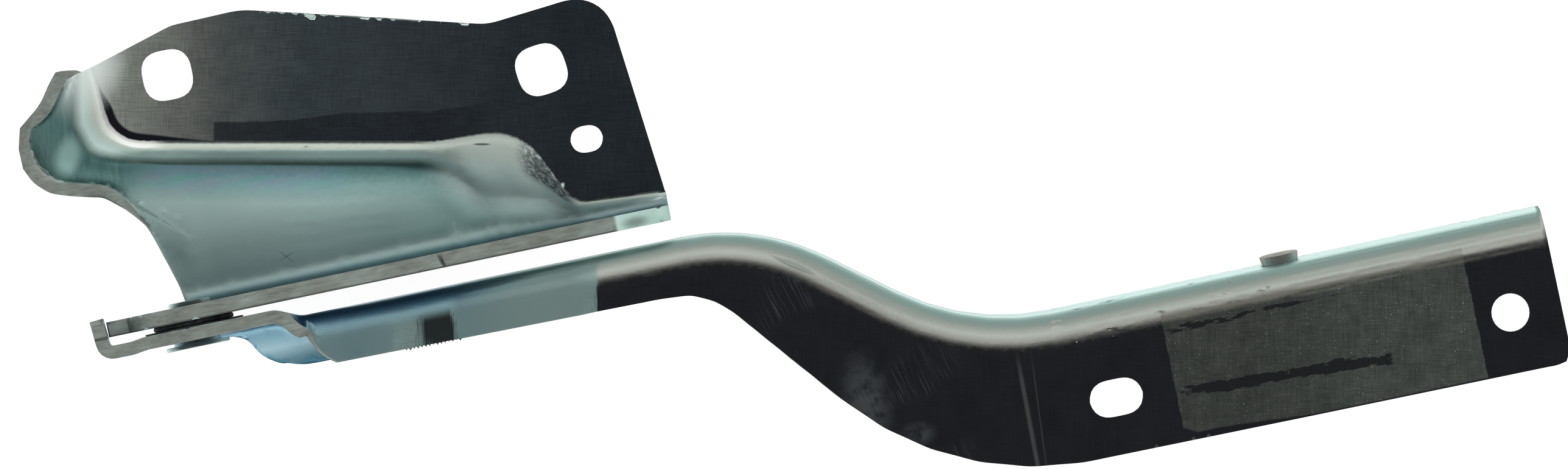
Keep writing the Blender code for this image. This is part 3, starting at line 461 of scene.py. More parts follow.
def bracketZinc():
    recipe = Recipe("bracketZinc")
    grain = brushedGrain(recipe)
    x, y, fall = recipe.x, recipe.y, recipe.attribute("fall")
    ragged = recipe.jitter(recipe.noise(1.3, 4.0), 0.016, fall)
    flange = flangeTone(recipe, grain)
    # painted light over the drawn part: a highlight along the ridge's crest, painted shade at the foot of the wall and
    # in the valley, and pale painted reflections on the wall and the slope
    crest = recipe.ramp(ragged, fallStops([
        (0.99, tone(56, 60, 62)), (1.06, tone(72, 77, 77)), (1.15, tone(194, 201, 192)),
        (1.26, tone(182, 190, 180)), (1.42, tone(178, 196, 189)), (1.62, tone(190, 210, 205)),
        (1.8, tone(132, 152, 146)), (1.92, tone(82, 102, 97)), (2.0, tone(78, 108, 108)), (2.06, tone(90, 122, 120)),
        (2.14, tone(120, 148, 145)), (2.28, tone(150, 172, 168)), (2.6, tone(150, 170, 167)),
        (3.0, tone(148, 168, 166))]))
    # a painted white highlight sits on the left corner of the ridge; the hump gets painted reflections, grey on top and
    # pale on the wall and valley from there rightwards
    corner = recipe.product(recipe.between(x, -11.0, 0.0, 3.0), recipe.between(y, 38.0, 58.0, 3.0),
                            recipe.between(ragged, 0.338, 0.43, 0.012))
    crest = recipe.mix(recipe.sum("MULTIPLY", corner, 0.6), crest, tone(250, 251, 248))
    top = recipe.product(recipe.between(x, 60.0, 86.0, 4.0), recipe.fade(y, 12.0, 22.0),
                         recipe.fade(ragged, 0.58, 0.44), recipe.fade(ragged, 0.333, 0.352))
    leeSheen = recipe.product(recipe.fade(x, 57.0, 68.0), recipe.between(ragged, 0.42, 0.72, 0.05))
    crest = recipe.mix(recipe.sum("MULTIPLY", leeSheen, 0.9), crest, tone(196, 214, 209))
    crest = recipe.mix(recipe.sum("MULTIPLY", top, 0.9), crest, tone(172, 181, 174))
    # the hollow dish is painted dark teal as its shade, with a paler patch low down
    dish = recipe.product(recipe.fade(x, -3.0, -11.0), recipe.fade(ragged, 0.6, 0.66), recipe.fade(y, 28.0, 34.0))
    streak = recipe.noise(1.2, 3.0, stretch=(1, 9, 1), turn=zincLook["rollTurn"], shift=12.0)
    teal = recipe.ramp(streak, [(0.3, tone(60, 90, 89)), (0.52, tone(72, 104, 101)), (0.7, tone(88, 118, 114))])
    teal = recipe.mix(recipe.mark(-20.5, 42.5, 9.0, 5.0, 60.0, 0.6), teal, tone(132, 162, 158))
    crest = recipe.mix(recipe.sum("MULTIPLY", dish, 0.85), crest, teal)
    # faint oil-film tints run along the foot of the step
    band = recipe.noise(2.0, 4.0, stretch=(10, 1, 1), shift=3.0)
    film = recipe.ramp(band, [
        (0.34, tone(84, 130, 132)), (0.45, tone(92, 146, 150)), (0.52, tone(112, 128, 158)),
        (0.58, tone(126, 122, 152)), (0.66, tone(104, 148, 150))])
    filmShare = recipe.product(recipe.between(ragged, 0.67, 0.735, 0.03), recipe.between(x, -5.0, 40.0, 6.0), 0.35)
    crest = recipe.mix(filmShare, crest, film)
    # painted light: the slope and the wall are painted lighter to the right, though they lean more there
    lift = recipe.product(recipe.fade(x, 8.0, 62.0, False), recipe.fade(ragged, 0.66, 0.72),
                          recipe.fade(recipe.attribute("foot"), 1.5, 7.0), 0.85)
    wall = recipe.product(recipe.between(x, 25.0, 58.0, 14.0), recipe.between(ragged, 0.44, 0.62, 0.04), 0.4)
    crest = scale(recipe, crest, recipe.sum("ADD", recipe.sum("ADD", lift, wall), 1.0))
    # drawing marks speckle the right flank of the hump, painted as pale glints and dark specks
    fleckGlint = recipe.ramp(recipe.noise(0.5, 3.0, 0.7, stretch=(1, 2.4, 1), turn=-28.0), [
        (0.36, tone(60, 62, 68)), (0.5, tone(104, 112, 114)), (0.64, tone(190, 196, 192))])
    flank = recipe.product(recipe.between(ragged, 0.335, 0.5, 0.03), recipe.between(x, 81.0, 91.0, 2.0),
                           recipe.between(y, 9.0, 24.0, 2.0), 0.85)
    crest = recipe.mix(flank, crest, fleckGlint)
    colour = recipe.mix(recipe.fade(ragged, 0.3345, 0.3325), crest, flange)
    # a painted highlight at the top-left end of the ridge
    glow = recipe.mark(-12.0, 60.5, 15.0, 10.0, 50.0, 0.9)
    colour = recipe.mix(recipe.sum("MULTIPLY", glow, 0.8), colour, tone(226, 234, 230))
    # painted shade: a dark blue line along the foot of the slope, in the bend down to the plate
    foot = recipe.product(recipe.fade(recipe.attribute("foot"), 3.4, 0.3), recipe.fade(ragged, 0.5, 0.6), 0.85)
    colour = recipe.mix(foot, colour, tone(66, 92, 100))
    colour = scale(recipe, colour, recipe.sum("MULTIPLY_ADD", recipe.noise(16.0, 4.0, shift=2.0), 0.16, 0.92))
    # a slit in the hump, a crossed scratch on the slope and a few fine hairs
    slit = recipe.mark(72.7, 25.8, 3.7, 0.5, -11.8)
    colour = recipe.mix(recipe.sum("MULTIPLY", slit, 0.8), colour, tone(52, 56, 58))
    for turn in (22.0, -48.0):
        cross = recipe.mark(23.5, 9.9, 4.2, 0.3, turn)
        colour = recipe.mix(recipe.sum("MULTIPLY", cross, 0.4), colour, tone(78, 90, 88))
    colour = plainUnder(recipe, colour, grain)
    cut = recipe.attribute("sheared")
    edge = shearedTone(recipe, x, y)
    # painted reflection: the cut edge at the right end is pale where it catches the light
    pale = recipe.mix(recipe.mark(103.5, 1.2, 5.0, 2.2, 0.0, 0.7), tone(198, 224, 216), tone(150, 168, 161))
    edge = recipe.mix(recipe.product(recipe.fade(x, 98.6, 99.6), recipe.fade(y, 6.0, 4.5), 0.92), edge, pale)
    edge = recipe.mix(recipe.sum("MULTIPLY", recipe.mark(58.5, 1.6, 0.9, 3.4, 20.0), 0.7), edge, tone(58, 60, 58))
    colour = recipe.mix(cut, colour, edge)
    drawn = recipe.fade(ragged, 0.3325, 0.3345)
    rough = recipe.sum("MULTIPLY_ADD", drawn, zincLook["drawnRoughness"] - zincLook["flatRoughness"],
                       zincLook["flatRoughness"])
    rough = recipe.sum("MULTIPLY_ADD", cut, 0.14, rough)
    height = recipe.sum("ADD", recipe.sum("MULTIPLY", grain, 0.12), recipe.noise(1.6, 3.0))
    return recipe.finish(colour, rough, height, 0.03)


def makeBracket():
    piece = fineCopy("body_bracket", "bodyBracketPlated", 3.5)
    bracketPaint(piece)
    piece.data.materials.clear()
    piece.data.materials.append(bracketZinc())
    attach(piece, bodySide)
    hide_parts("body_bracket")
    print("body bracket done")


# Bonnet arm

armLook = {
    "film": (216.2, 286.4, -73.0, -43.0),       # left, right, low and high edge of the dull film
    "patch": (51.3, 58.2),          # painted dark reflection over the channel's level stretch, along the arm
    "facetEnd": 92.3,               # the flange is level from here on, across the rolling marks, and painted black as its dark reflection
    "nicks": (209.3, 217.9, 221.4),
}


def armFilm(recipe, tilt):
    # share of the dull film that paper tape left, and of the two streaks torn out of it
    left, right, low, high = armLook["film"]
    x, y = recipe.x, recipe.y
    shaky = recipe.jitter(recipe.noise(1.4, 3.0), 0.9, x)
    lowEdge = recipe.sum("MULTIPLY_ADD", recipe.fade(x, 222.0, 250.0), -1.4, low + 1.2)
    lowEdge = recipe.sum("MULTIPLY_ADD", recipe.fade(x, 219.5, 216.0), 1.5, lowEdge)
    film = recipe.product(recipe.between(shaky, left, right, 0.15),
                          recipe.fade(recipe.sum("SUBTRACT", y, lowEdge), -0.2, 0.3), recipe.fade(tilt, 0.3, 0.12))
    ragged = recipe.noise(1.8, 4.0, 0.6, stretch=(4.5, 1, 1), shift=6.0)
    middle = recipe.sum("MULTIPLY_ADD", recipe.sum("SUBTRACT", x, 217.8), -0.0325, -62.5)
    middle = recipe.jitter(recipe.noise(5.0, 2.0, stretch=(3, 1, 1), shift=2.5), 3.0, middle)
    torn = recipe.noise(0.9, 4.0, 0.7, stretch=(2.5, 1, 1), shift=9.0)
    wide = recipe.jitter(torn, 3.4, recipe.jitter(ragged, 2.4, 1.15))
    lowTear = recipe.sum("SUBTRACT", wide, recipe.sum("ABSOLUTE", recipe.sum("SUBTRACT", y, middle)))
    ends = recipe.jitter(torn, 9.0, x)
    lowTear = recipe.product(recipe.fade(lowTear, -0.1, 0.15), recipe.between(ends, 218.4, 266.0, 0.4))
    wide = recipe.product(recipe.fade(ragged, 0.42, 0.58), recipe.fade(x, 262.0, 232.0), 1.0)
    highTear = recipe.sum("SUBTRACT", wide, recipe.sum("ABSOLUTE", recipe.sum("ADD", y, high + 90.6)))
    highTear = recipe.product(recipe.fade(highTear, -0.15, 0.2), recipe.between(x, 216.0, 261.0, 0.5))
    return film, recipe.sum("MULTIPLY", recipe.sum("MAXIMUM", lowTear, highTear), film)


def armZinc():
    recipe = Recipe("armZinc")
    grain = brushedGrain(recipe)
    x, y, u = recipe.x, recipe.y, recipe.u
    peel = recipe.noise(0.75, 3.0, 0.6)
    tilt = recipe.tilt()
    rough = recipe.jitter(peel, 0.035, tilt)
    # painted reflection: the zinc is toned by how far it leans, black where level and pale where steep
    far = recipe.ramp(rough, [
        (0.0, tone(29, 31, 34)), (0.04, tone(31, 33, 35)), (0.075, tone(58, 58, 57)), (0.13, tone(94, 95, 91)),
        (0.2, tone(128, 130, 124)), (0.3, tone(148, 153, 146)), (0.45, tone(146, 154, 147)), (0.58, tone(125, 145, 139)),
        (0.7, tone(124, 150, 144)), (0.84, tone(168, 200, 192)), (0.93, tone(214, 244, 238)), (1.0, tone(168, 194, 192))])
    # left of the level flange one even facet runs into the bend, whose painted reflection is dark blue at the left
    plain = recipe.ramp(rough, [
        (0.0, tone(108, 127, 125)), (0.2, tone(110, 130, 127)), (0.32, tone(120, 139, 136)), (0.45, tone(116, 137, 135)),
        (0.62, tone(118, 143, 140)), (0.76, tone(140, 170, 166)), (0.9, tone(206, 236, 232)), (1.0, tone(180, 206, 208))])
    blue = recipe.ramp(rough, [
        (0.0, tone(108, 127, 125)), (0.2, tone(96, 120, 124)), (0.32, tone(100, 126, 134)), (0.44, tone(94, 124, 142)),
        (0.62, tone(84, 118, 150)), (0.82, tone(74, 112, 152)), (0.93, tone(150, 200, 216)), (1.0, tone(196, 226, 236))])
    near = recipe.mix(recipe.fade(x, 80.0, 52.0), plain, blue)
    feather = recipe.noise(0.4, 2.0, stretch=(1, 14, 1), turn=zincLook["rollTurn"])
    slid = recipe.jitter(feather, 2.6, u)
    end = armLook["facetEnd"]
    colour = recipe.mix(recipe.fade(slid, end - 0.5, end + 0.5), near, far)
    level = recipe.fade(tilt, 0.1, 0.04)
    mottle = recipe.sum("MULTIPLY_ADD", recipe.noise(6.0, 4.0, 0.6, shift=11.0), 0.5, 0.8)
    faint = recipe.sum("MULTIPLY", recipe.sum("MULTIPLY_ADD", grain, 0.45, 0.55), mottle)
    colour = recipe.mix(level, colour, scale(recipe, colour, faint))
    film, torn = armFilm(recipe, tilt)
    filmTone = recipe.ramp(recipe.noise(2.6, 5.0, 0.65, shift=8.0), [
        (0.3, tone(55, 59, 56)), (0.5, tone(60, 64, 61)), (0.7, tone(67, 70, 66))])
    filmTone = recipe.mix(recipe.fade(recipe.noise(0.45, 1.0, shift=3.0), 0.7, 0.76), filmTone, tone(118, 122, 116))
    paler = recipe.sum("MULTIPLY_ADD", recipe.fade(x, 236.0, 262.0), 0.3, 1.0)
    filmTone = scale(recipe, filmTone, recipe.sum("MULTIPLY", grain, paler))
    # where the film leans away from level it is painted paler, as its reflection
    filmTone = recipe.mix(recipe.fade(tilt, 0.05, 0.13), filmTone, tone(106, 106, 98))
    colour = recipe.mix(recipe.sum("MULTIPLY", film, 0.92), colour, filmTone)
    # the streaks torn out of the film show bare level zinc, painted black as its dark reflection
    colour = recipe.mix(recipe.sum("MULTIPLY", torn, 0.9), colour, tone(27, 29, 31))
    # creases where the die closed, painted as pale lines where they catch the light, worn spots and fine upright
    # scratches
    bends = None
    for foot, lean, half, strength in ((182.5, 0.0207, 0.45, 0.3), (185.9, 0.072, 0.18, 0.14)):
        away = recipe.sum("ABSOLUTE", recipe.sum("SUBTRACT", recipe.sum("MULTIPLY_ADD", y, -lean, x), foot + 43 * lean))
        line = recipe.product(recipe.fade(away, 1.6 * half, 0.4 * half), recipe.fade(y, -44.0, -54.0), strength)
        bends = line if bends is None else recipe.sum("ADD", bends, line)
    colour = recipe.mix(bends, colour, tone(104, 106, 104))
    worn = recipe.sum("MAXIMUM", recipe.mark(146.8, -49.3, 8, 16, 0, 0.8), recipe.mark(156.6, -59.2, 6, 4, 0, 0.8))
    worn = recipe.product(worn, level, recipe.fade(recipe.noise(3.0, 3.0), 0.3, 0.6), 0.6)
    colour = recipe.mix(worn, colour, tone(76, 80, 82))
    hair = recipe.product(scratches(recipe, -15.0, 2.0, 0.62), recipe.between(x, 118.0, 168.0, 8.0), level, 0.6)
    colour = recipe.mix(hair, colour, tone(70, 74, 76))
    # a faint pale line, and painted glints on the nicks along the free edge
    light = recipe.mark(161.3, -31.3, 11.0, 0.22, -30.0)
    for nick in armLook["nicks"]:
        light = recipe.sum("MAXIMUM", light, recipe.mark(nick, -73.4, 0.9, 1.4))
    colour = recipe.mix(recipe.sum("MULTIPLY", light, 0.12), colour, tone(176, 182, 178))
    # a dent, pressed in by the bump and painted paler where its sides catch the light
    dent = recipe.mark(137.2, -15.9, 9.4, 1.2, -35.0)
    colour = recipe.mix(recipe.sum("MULTIPLY", dent, 0.45), colour, tone(92, 104, 100))
    # the level stretch of the channel gets a painted dark reflection, a patch with feathered ends
    left, right = armLook["patch"]
    slid = recipe.jitter(feather, 3.2, x)
    patch = recipe.product(recipe.fade(recipe.jitter(feather, 5.0, x), left - 2.5, left + 1.0),
                           recipe.fade(slid, right + 0.4, right - 0.4), recipe.fade(y, -8.5, -11.5))
    patch = recipe.product(patch, recipe.fade(tilt, 0.3, 0.2), 0.95)
    colour = recipe.mix(patch, colour, tone(26, 28, 29))
    # the lip is painted with its reflections: pale blue with a paler highlight band, and painted shade at its dark root
    # on the left
    lip = recipe.product(recipe.fade(recipe.z, -7.0, -9.0), recipe.fade(x, 118.0, 100.0), 0.9)
    lipTone = recipe.ramp(recipe.fade(y, -2.0, -20.0, False), [
        (0.0, tone(60, 84, 96)), (0.25, tone(134, 174, 190)), (0.45, tone(182, 214, 224)),
        (0.62, tone(108, 146, 160)), (0.8, tone(92, 128, 142)), (1.0, tone(166, 204, 214))])
    colour = recipe.mix(lip, colour, lipTone)
    colour = recipe.mix(recipe.fade(x, 34.0, 46.0), colour, plainUnder(recipe, colour, grain))
    cut = recipe.attribute("sheared")
    edgeTone = shearedTone(recipe, x, y)
    # painted reflection: the arm's end face is pale where it catches the light
    edgeTone = recipe.mix(recipe.fade(x, 302.0, 305.0), edgeTone, tone(196, 224, 222))
    colour = recipe.mix(cut, colour, edgeTone)
    gloss = recipe.sum("MULTIPLY_ADD", cut, 0.26, recipe.sum("MULTIPLY_ADD", film, 0.2, zincLook["flatRoughness"]))
    height = recipe.sum("ADD", recipe.sum("MULTIPLY", grain, 0.1), recipe.sum("MULTIPLY", peel, 0.8))
    height = recipe.sum("SUBTRACT", height, recipe.sum("ADD", bends, recipe.sum("MULTIPLY", dent, 3.0)))
    return recipe.finish(colour, gloss, height, 0.04)


def makeArm():
    piece = fineCopy("hood_arm", "bonnetArmPlated", 3.0)
    piece.data.materials.clear()
    piece.data.materials.append(armZinc())
    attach(piece, bonnetSide)
    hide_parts("hood_arm")
    print("bonnet arm done")
    return piece


# Turned parts: each profile of points (radius, height) is swept round an axis by one Geometry Nodes tree

class Former(Nodes):
    # a Geometry Nodes tree with named inputs, which ends in Realize Instances and Set Material
    def __init__(self, name, sizes):
        super().__init__(bpy.data.node_groups.new(name, "GeometryNodeTree"))
        self.sizes = sizes
        panel = self.tree.interface
        panel.new_socket("Base", in_out="INPUT", socket_type="NodeSocketGeometry")
        for title, value in sizes.items():
            kind = "NodeSocketInt" if isinstance(value, int) else "NodeSocketFloat"
            panel.new_socket(title, in_out="INPUT", socket_type=kind)
        panel.new_socket("Material", in_out="INPUT", socket_type="NodeSocketMaterial")
        panel.new_socket("Part", in_out="OUTPUT", socket_type="NodeSocketGeometry")
        self.given = self.node("NodeGroupInput").outputs

    def end(self, shape):
        real = self.node("GeometryNodeRealizeInstances", {0: shape}).outputs[0]
        coated = self.node("GeometryNodeSetMaterial", {"Geometry": real, "Material": self.given["Material"]})
        self.node("NodeGroupOutput", {0: coated.outputs[0]})

    def form(self, name, base, material, **changes):
        # the result on a base mesh, as a plain mesh object
        piece = link(bpy.data.objects.new(name, base))
        modifier = piece.modifiers.new("former", "NODES")
        modifier.node_group = self.tree
        values = dict(self.sizes, **changes, Material=material)
        for socket in self.tree.interface.items_tree:
            if socket.in_out == "INPUT" and socket.name in values:
                modifier[socket.identifier] = values[socket.name]
        depsgraph = bpy.context.evaluated_depsgraph_get()
        plain = bpy.data.meshes.new_from_object(piece.evaluated_get(depsgraph), depsgraph=depsgraph)
        piece.modifiers.remove(modifier)
        piece.data = plain
        return piece


def lathe():
    former = Former("lathe", {"Sides": 96, "Points": 2})
    sides, rows = former.given["Sides"], former.given["Points"]
    columns = former.node("ShaderNodeMath", {0: sides, 1: 1}, operation="ADD").outputs[0]
    grid = former.node("GeometryNodeMeshGrid", {"Vertices X": columns, "Vertices Y": rows}).outputs["Mesh"]
    index = former.node("GeometryNodeInputIndex").outputs[0]
    row = former.sum("MODULO", index, rows)
    column = former.sum("FLOOR", former.sum("DIVIDE", index, rows))
    where = former.node("GeometryNodeInputPosition").outputs[0]
    inputs = {"Geometry": former.given["Base"], "Value": where, "Index": row}
    point = former.node("GeometryNodeSampleIndex", inputs, data_type="FLOAT_VECTOR").outputs[0]
    split = former.node("ShaderNodeSeparateXYZ", {0: point}).outputs
    angle = former.sum("MULTIPLY", column, former.sum("DIVIDE", 2 * math.pi, sides))
    inputs = {0: former.sum("MULTIPLY", split[0], former.sum("COSINE", angle)), 1: split[1],
              2: former.sum("MULTIPLY", split[0], former.sum("SINE", angle))}
    turned = former.node("ShaderNodeCombineXYZ", inputs).outputs[0]
    moved = former.node("GeometryNodeSetPosition", {"Geometry": grid, "Position": turned}).outputs[0]
    former.end(former.node("GeometryNodeMergeByDistance", {"Geometry": moved, "Distance": 2e-6}).outputs[0])
    return former


def turnedPart(former, node, name, profile, material, body, matrix=None):
    base = bpy.data.meshes.new(name)
    base.from_pydata([(radius * mm, height * mm, 0) for radius, height in profile], [], [])
    piece = former.form(name, base, material, Points=len(profile))
    piece.data.transform(matrix or Matrix.Translation(pivot))
    mesh = bmesh.new()
    mesh.from_mesh(piece.data)
    bmesh.ops.remove_doubles(mesh, verts=mesh.verts, dist=2e-6)
    bmesh.ops.recalc_face_normals(mesh, faces=mesh.faces)
    mesh.to_mesh(piece.data)
    mesh.free()
    piece.data.shade_smooth()
    piece.data.set_sharp_from_angle(angle=math.radians(40))
    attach(piece, body)
    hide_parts(node)


def rim(radius, height, rounding, up):
    # three points round a turned corner, from the flat at this height to the side; up is 1 or -1
    soft = 0.3 * rounding
    return [(radius - rounding, height), (radius - soft, height - up * soft), (radius, height - up * rounding)]


pivotLook = {
    "washerMid": -1.14,             # where the two washers meet, from the bracket's outer face
    "armFace": -1.55,
    "armBack": -4.55,
    "head": (7.3, -5.3, -6.25),     # radius, upper and lower face
    "shoulder": 5.4,
    "tenon": 4.0,
    "upset": (4.85, 3.58, 4.58),
    "spacer": 9.3,
    "thin": 11.4,
    "sleeve": (5.5, 6.2),
    "studHead": (4.45, 2.0),
    "studMark": (1.3, 0.15),
    "studShank": 3.0,
    "studRivet": (4.2, 1.1),
    "studLean": 5.0,
}


def turnedZinc(name, stops):
    # machined plate with painted reflections, toned by how far it leans, with turning rings that fade into oil marks
    recipe = Recipe(name)
    smear = recipe.noise(1.3, 4.0, 0.6)
    colour = recipe.ramp(recipe.jitter(smear, 0.14, recipe.tilt()), stops)
    ring = recipe.noise(0.16, 2.0, stretch=(1, 8, 8))
    colour = scale(recipe, colour, recipe.sum("MULTIPLY_ADD", ring, 0.4, 0.8))
    return recipe.finish(colour, recipe.sum("MULTIPLY_ADD", smear, 0.2, 0.28), ring, 0.02)


def washerBlack(name, base, dust):
    # dark moulded washer with a dusty bloom on its rim
    recipe = Recipe(name)
    bloom = recipe.fade(recipe.noise(1.6, 4.0, 0.6), 0.42, 0.72)
    colour = recipe.mix(recipe.sum("MULTIPLY", bloom, 0.6), base, dust)
    fine = recipe.noise(0.2, 3.0)
    return recipe.finish(colour, recipe.sum("MULTIPLY_ADD", fine, 0.25, 0.42), fine, 0.02, metallic=0.0)


def bushBronze():
    recipe = Recipe("bushBronze")
    tint = recipe.ramp(recipe.noise(0.9, 4.0, 0.6), [
        (0.3, tone(108, 80, 44)), (0.52, tone(156, 122, 74)), (0.72, tone(188, 158, 106))])
    ring = recipe.noise(0.18, 2.0, stretch=(1, 9, 9))
    return recipe.finish(tint, recipe.sum("MULTIPLY_ADD", ring, 0.2, 0.3), ring, 0.02)


burrLook = {
    "from": 46.5,                   # along the arm, where the shear left teeth on its free edge
    "to": 59.0,
    "count": 15,
    "tooth": 0.6,
    "seed": 5,
}


def burrMaker():
    # small teeth along a line, each turned outwards and of its own size
    former = Former("burrMaker", {"Count": burrLook["count"], "Tooth": burrLook["tooth"] * mm, "Seed": burrLook["seed"]})
    path = former.node("GeometryNodeMeshToCurve", {"Mesh": former.given["Base"]}).outputs[0]
    spots = former.node("GeometryNodeResampleCurve", {"Curve": path, "Count": former.given["Count"]}).outputs[0]
    tooth = former.given["Tooth"]
    inputs = {"Vertices": 5, "Radius Top": 0.0, "Radius Bottom": former.sum("MULTIPLY", tooth, 0.7), "Depth": tooth}
    cone = former.node("GeometryNodeMeshCone", inputs).outputs["Mesh"]
    size = former.node("FunctionNodeRandomValue", {2: 0.45, 3: 1.15, "Seed": former.given["Seed"]}, data_type="FLOAT")
    inputs = {"Points": spots, "Instance": cone, "Rotation": (math.pi / 2, 0, 0), "Scale": size.outputs[1]}
    former.end(former.node("GeometryNodeInstanceOnPoints", inputs).outputs[0])
    return former


def makeBurrs(arm, material):
    # the line follows the upper rim of the arm's free edge
    look = burrLook
    places = (np.array([vert.co for vert in arm.data.vertices]) - np.array(pivot)) / mm
    line = []
    for x in np.linspace(look["from"], look["to"], 8):
        near = places[np.abs(places[:, 0] - x) < 1.5]
        edge = near[near[:, 1] < near[:, 1].min() + 0.15]
        line.append((x, edge[:, 1].mean() + 0.1, edge[:, 2].max() - 0.45))
    base = bpy.data.meshes.new("burrLine")
    spots = [pivot + Vector(spot) * mm for spot in line]
    base.from_pydata(spots, [(i, i + 1) for i in range(len(spots) - 1)], [])
    piece = burrMaker().form("edgeBurrs", base, material)
    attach(piece, bonnetSide)
    print("burrs done")


def makePivot(former):
    look = pivotLook
    headRadius, headTop, headLow = look["head"]
    upset, upsetLow, upsetTop = look["upset"]
    shoulder, tenon = look["shoulder"], look["tenon"]
    rivet = [(0, upsetTop), *rim(upset, upsetTop, 0.35, 1), (upset, upsetLow), (tenon, upsetLow), (tenon, -0.08),
             (shoulder, -0.08), (shoulder, headTop), *rim(headRadius, headTop, 0.12, 1),
             *reversed(rim(headRadius, headLow, 0.3, -1)), (0, headLow)]
    # painted reflection on the rivet head: dark where it faces up, pale towards its rounded sides
    steel = turnedZinc("rivetZinc", [
        (0.0, tone(48, 52, 53)), (0.34, tone(70, 78, 78)), (0.6, tone(150, 168, 164)), (0.8, tone(206, 224, 220)),
        (1.0, tone(132, 144, 142))])
    turnedPart(former, "pivot_rivet", "shoulderRivet", rivet, steel, bodySide)
    bore = shoulder + 0.1
    middle, face = look["washerMid"], look["armFace"]
    for node, name, radius, top, low, body, base in (
            ("spacer_washer", "spacerWasher", look["spacer"], -0.01, middle + 0.01, bodySide, tone(24, 27, 30)),
            ("thin_washer", "thinWasher", look["thin"], middle - 0.01, face + 0.01, bonnetSide, tone(34, 40, 44))):
        rounding = 0.3 * (top - low)
        ring = [(bore, top), *rim(radius, top, rounding, 1), *reversed(rim(radius, low, rounding, -1)), (bore, low),
                (bore, top)]
        black = washerBlack(name + "Black", base, tone(84, 92, 92))
        turnedPart(former, node, name, ring, black, body)
    inner, outer = look["sleeve"]
    top, low = face - 0.08, look["armBack"]
    sleeve = [(inner, top), *rim(outer, top, 0.2, 1), *reversed(rim(outer, low, 0.2, -1)), (inner, low), (inner, top)]
    turnedPart(former, "pivot_bush", "pivotBush", sleeve, bushBronze(), bonnetSide)
    print("pivot done")


def makeStud(former):
    look = pivotLook
    radius, height = look["studHead"]
    markRadius, markHeight = look["studMark"]
    foot, footHeight = look["studRivet"]
    shank = look["studShank"]
    top, back = 0.08 + height, -3.08
    profile = [(0, top + markHeight), (markRadius - 0.3, top + markHeight), (markRadius, top + 0.5 * markHeight),
               (markRadius + 0.2, top), *rim(radius, top, 0.2, 1), (radius - 0.3, 0.08), (shank, 0.08),
               (shank, back), (foot, back), (foot - 0.3, back - 0.7 * footHeight),
               (foot - 0.7, back - 0.92 * footHeight), (foot - 1.4, back - footHeight), (0, back - footHeight)]
    # the node's box gives the stud's place: its tilted rims reach the box's corners
    low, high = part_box("arm_stud")
    lean = Matrix.Rotation(math.radians(look["studLean"]), 4, "X")
    reach = [lean @ Vector((0, y * mm, z * r * mm)) for r, y in profile for z in (-1, 1)]
    middle = Vector((
        (low.x + high.x) / 2,
        (low.y + high.y - min(spot.y for spot in reach) - max(spot.y for spot in reach)) / 2,
        (low.z + high.z - min(spot.z for spot in reach) - max(spot.z for spot in reach)) / 2))
    # the stud is toned by how far each face leans, as its painted reflection
    brown = turnedZinc("studZinc", [
        (0.0, tone(86, 88, 84)), (0.3, tone(104, 108, 104)), (0.6, tone(146, 158, 154)), (0.85, tone(128, 122, 108)),
        (1.0, tone(118, 112, 98))])
    turnedPart(former, "arm_stud", "rivetedStud", profile, brown, bonnetSide,
               Matrix.Translation(middle) @ lean)
    print("stud done")


makeBracket()
arm = makeArm()
makeBurrs(arm, turnedZinc("burrZinc", [(0.0, tone(52, 54, 54)), (1.0, tone(92, 98, 96))]))
turner = lathe()
makePivot(turner)
makeStud(turner)


# Studio

studio = {
    "centre": (136.1, -8.5, 5.0),   # middle of the picture, millimetres from the pivot
    "width": 357.8,
    "distance": 5.0,
    "floorDrop": 0.8,               # mm under the lowest point
    "floorSize": 8.0,
    "skyStrength": 0.86,
    "sunStrength": 0.5,
}


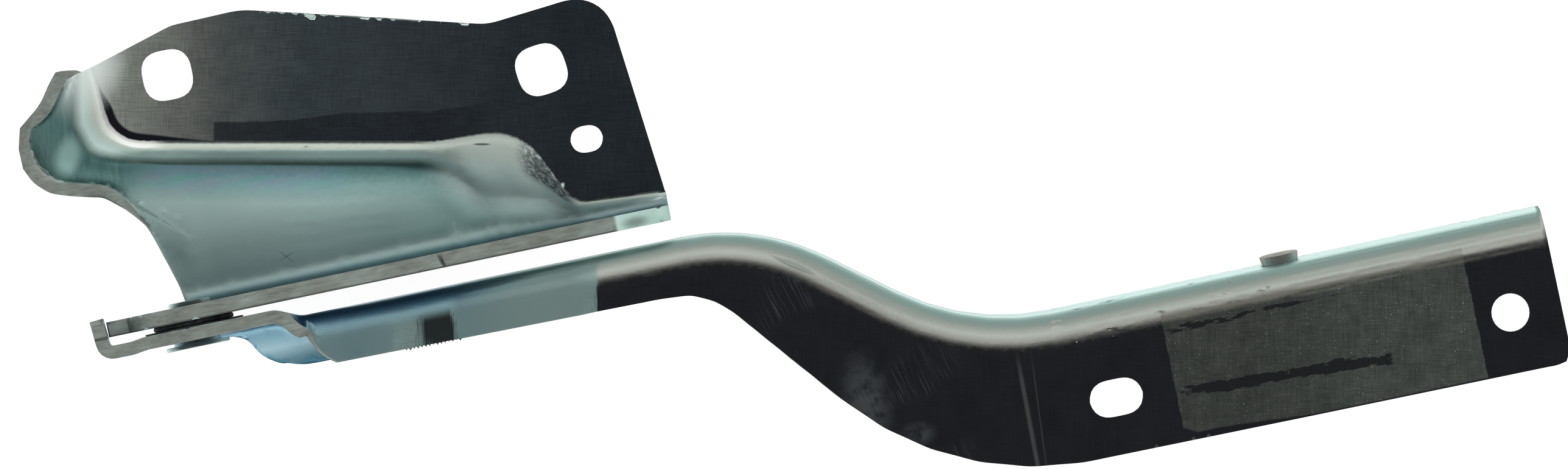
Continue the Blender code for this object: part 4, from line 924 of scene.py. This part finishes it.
def makeStudio():
    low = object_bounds()[0].z - studio["floorDrop"] * mm
    floorMesh = bpy.data.meshes.new("studioFloor")
    half = studio["floorSize"] / 2
    floorMesh.from_pydata([(-half, -half, low), (half, -half, low), (half, half, low), (-half, half, low)], [],
                          [(0, 1, 2, 3)])
    floor = link(bpy.data.objects.new("studioFloor", floorMesh))
    recipe = Recipe("floorWhite")
    plain = recipe.node("ShaderNodeBsdfDiffuse", {"Color": (0.16, 0.16, 0.16, 1)})
    glow = recipe.node("ShaderNodeEmission", {"Color": (1, 1, 1, 1), "Strength": 0.93})
    both = recipe.node("ShaderNodeAddShader", {0: plain.outputs[0], 1: glow.outputs[0]})
    pale = recipe.node("ShaderNodeBsdfDiffuse", {"Color": (0.8, 0.8, 0.8, 1)})
    path = recipe.node("ShaderNodeLightPath")
    seen = recipe.sum("MAXIMUM", path.outputs["Is Camera Ray"], path.outputs["Is Glossy Ray"])
    surface = recipe.node("ShaderNodeMixShader", {0: seen, 1: pale.outputs[0], 2: both.outputs[0]})
    recipe.node("ShaderNodeOutputMaterial", {"Surface": surface.outputs[0]})
    floorMesh.materials.append(recipe.material)

    world = bpy.data.worlds.new("softSky")
    bpy.context.scene.world = world
    world.use_nodes = True
    nodes = world.node_tree.nodes
    sky = nodes["Background"]
    sky.inputs["Color"].default_value = (1, 1, 1, 1)
    path = nodes.new("ShaderNodeLightPath")
    strength = nodes.new("ShaderNodeMapRange")
    strength.inputs["To Min"].default_value = studio["skyStrength"]
    strength.inputs["To Max"].default_value = 1.0
    world.node_tree.links.new(path.outputs["Is Camera Ray"], strength.inputs["Value"])
    world.node_tree.links.new(strength.outputs[0], sky.inputs["Strength"])

    for name, turn in (("lampFront", 168.0), ("lampBack", -12.0)):
        lamp = bpy.data.lights.new(name, "SUN")
        lamp.energy = studio["sunStrength"]
        lamp.angle = math.radians(50)
        sun = link(bpy.data.objects.new(name, lamp))
        sun.rotation_euler = (math.radians(48), 0, math.radians(turn))

    lens = bpy.data.cameras.new("topCamera")
    lens.sensor_width = 36.0
    lens.lens = 18.0 * studio["distance"] / (studio["width"] / 2 * mm)
    camera = link(bpy.data.objects.new("topCamera", lens))
    camera.location = pivot + Vector(studio["centre"]) * mm + Vector((0, 0, studio["distance"]))
    camera.rotation_euler = (0, 0, math.radians(-zincLook["rollTurn"]))
    bpy.context.scene.camera = camera
    bpy.context.scene.view_settings.view_transform = "Standard"
    print("studio done")


makeStudio()
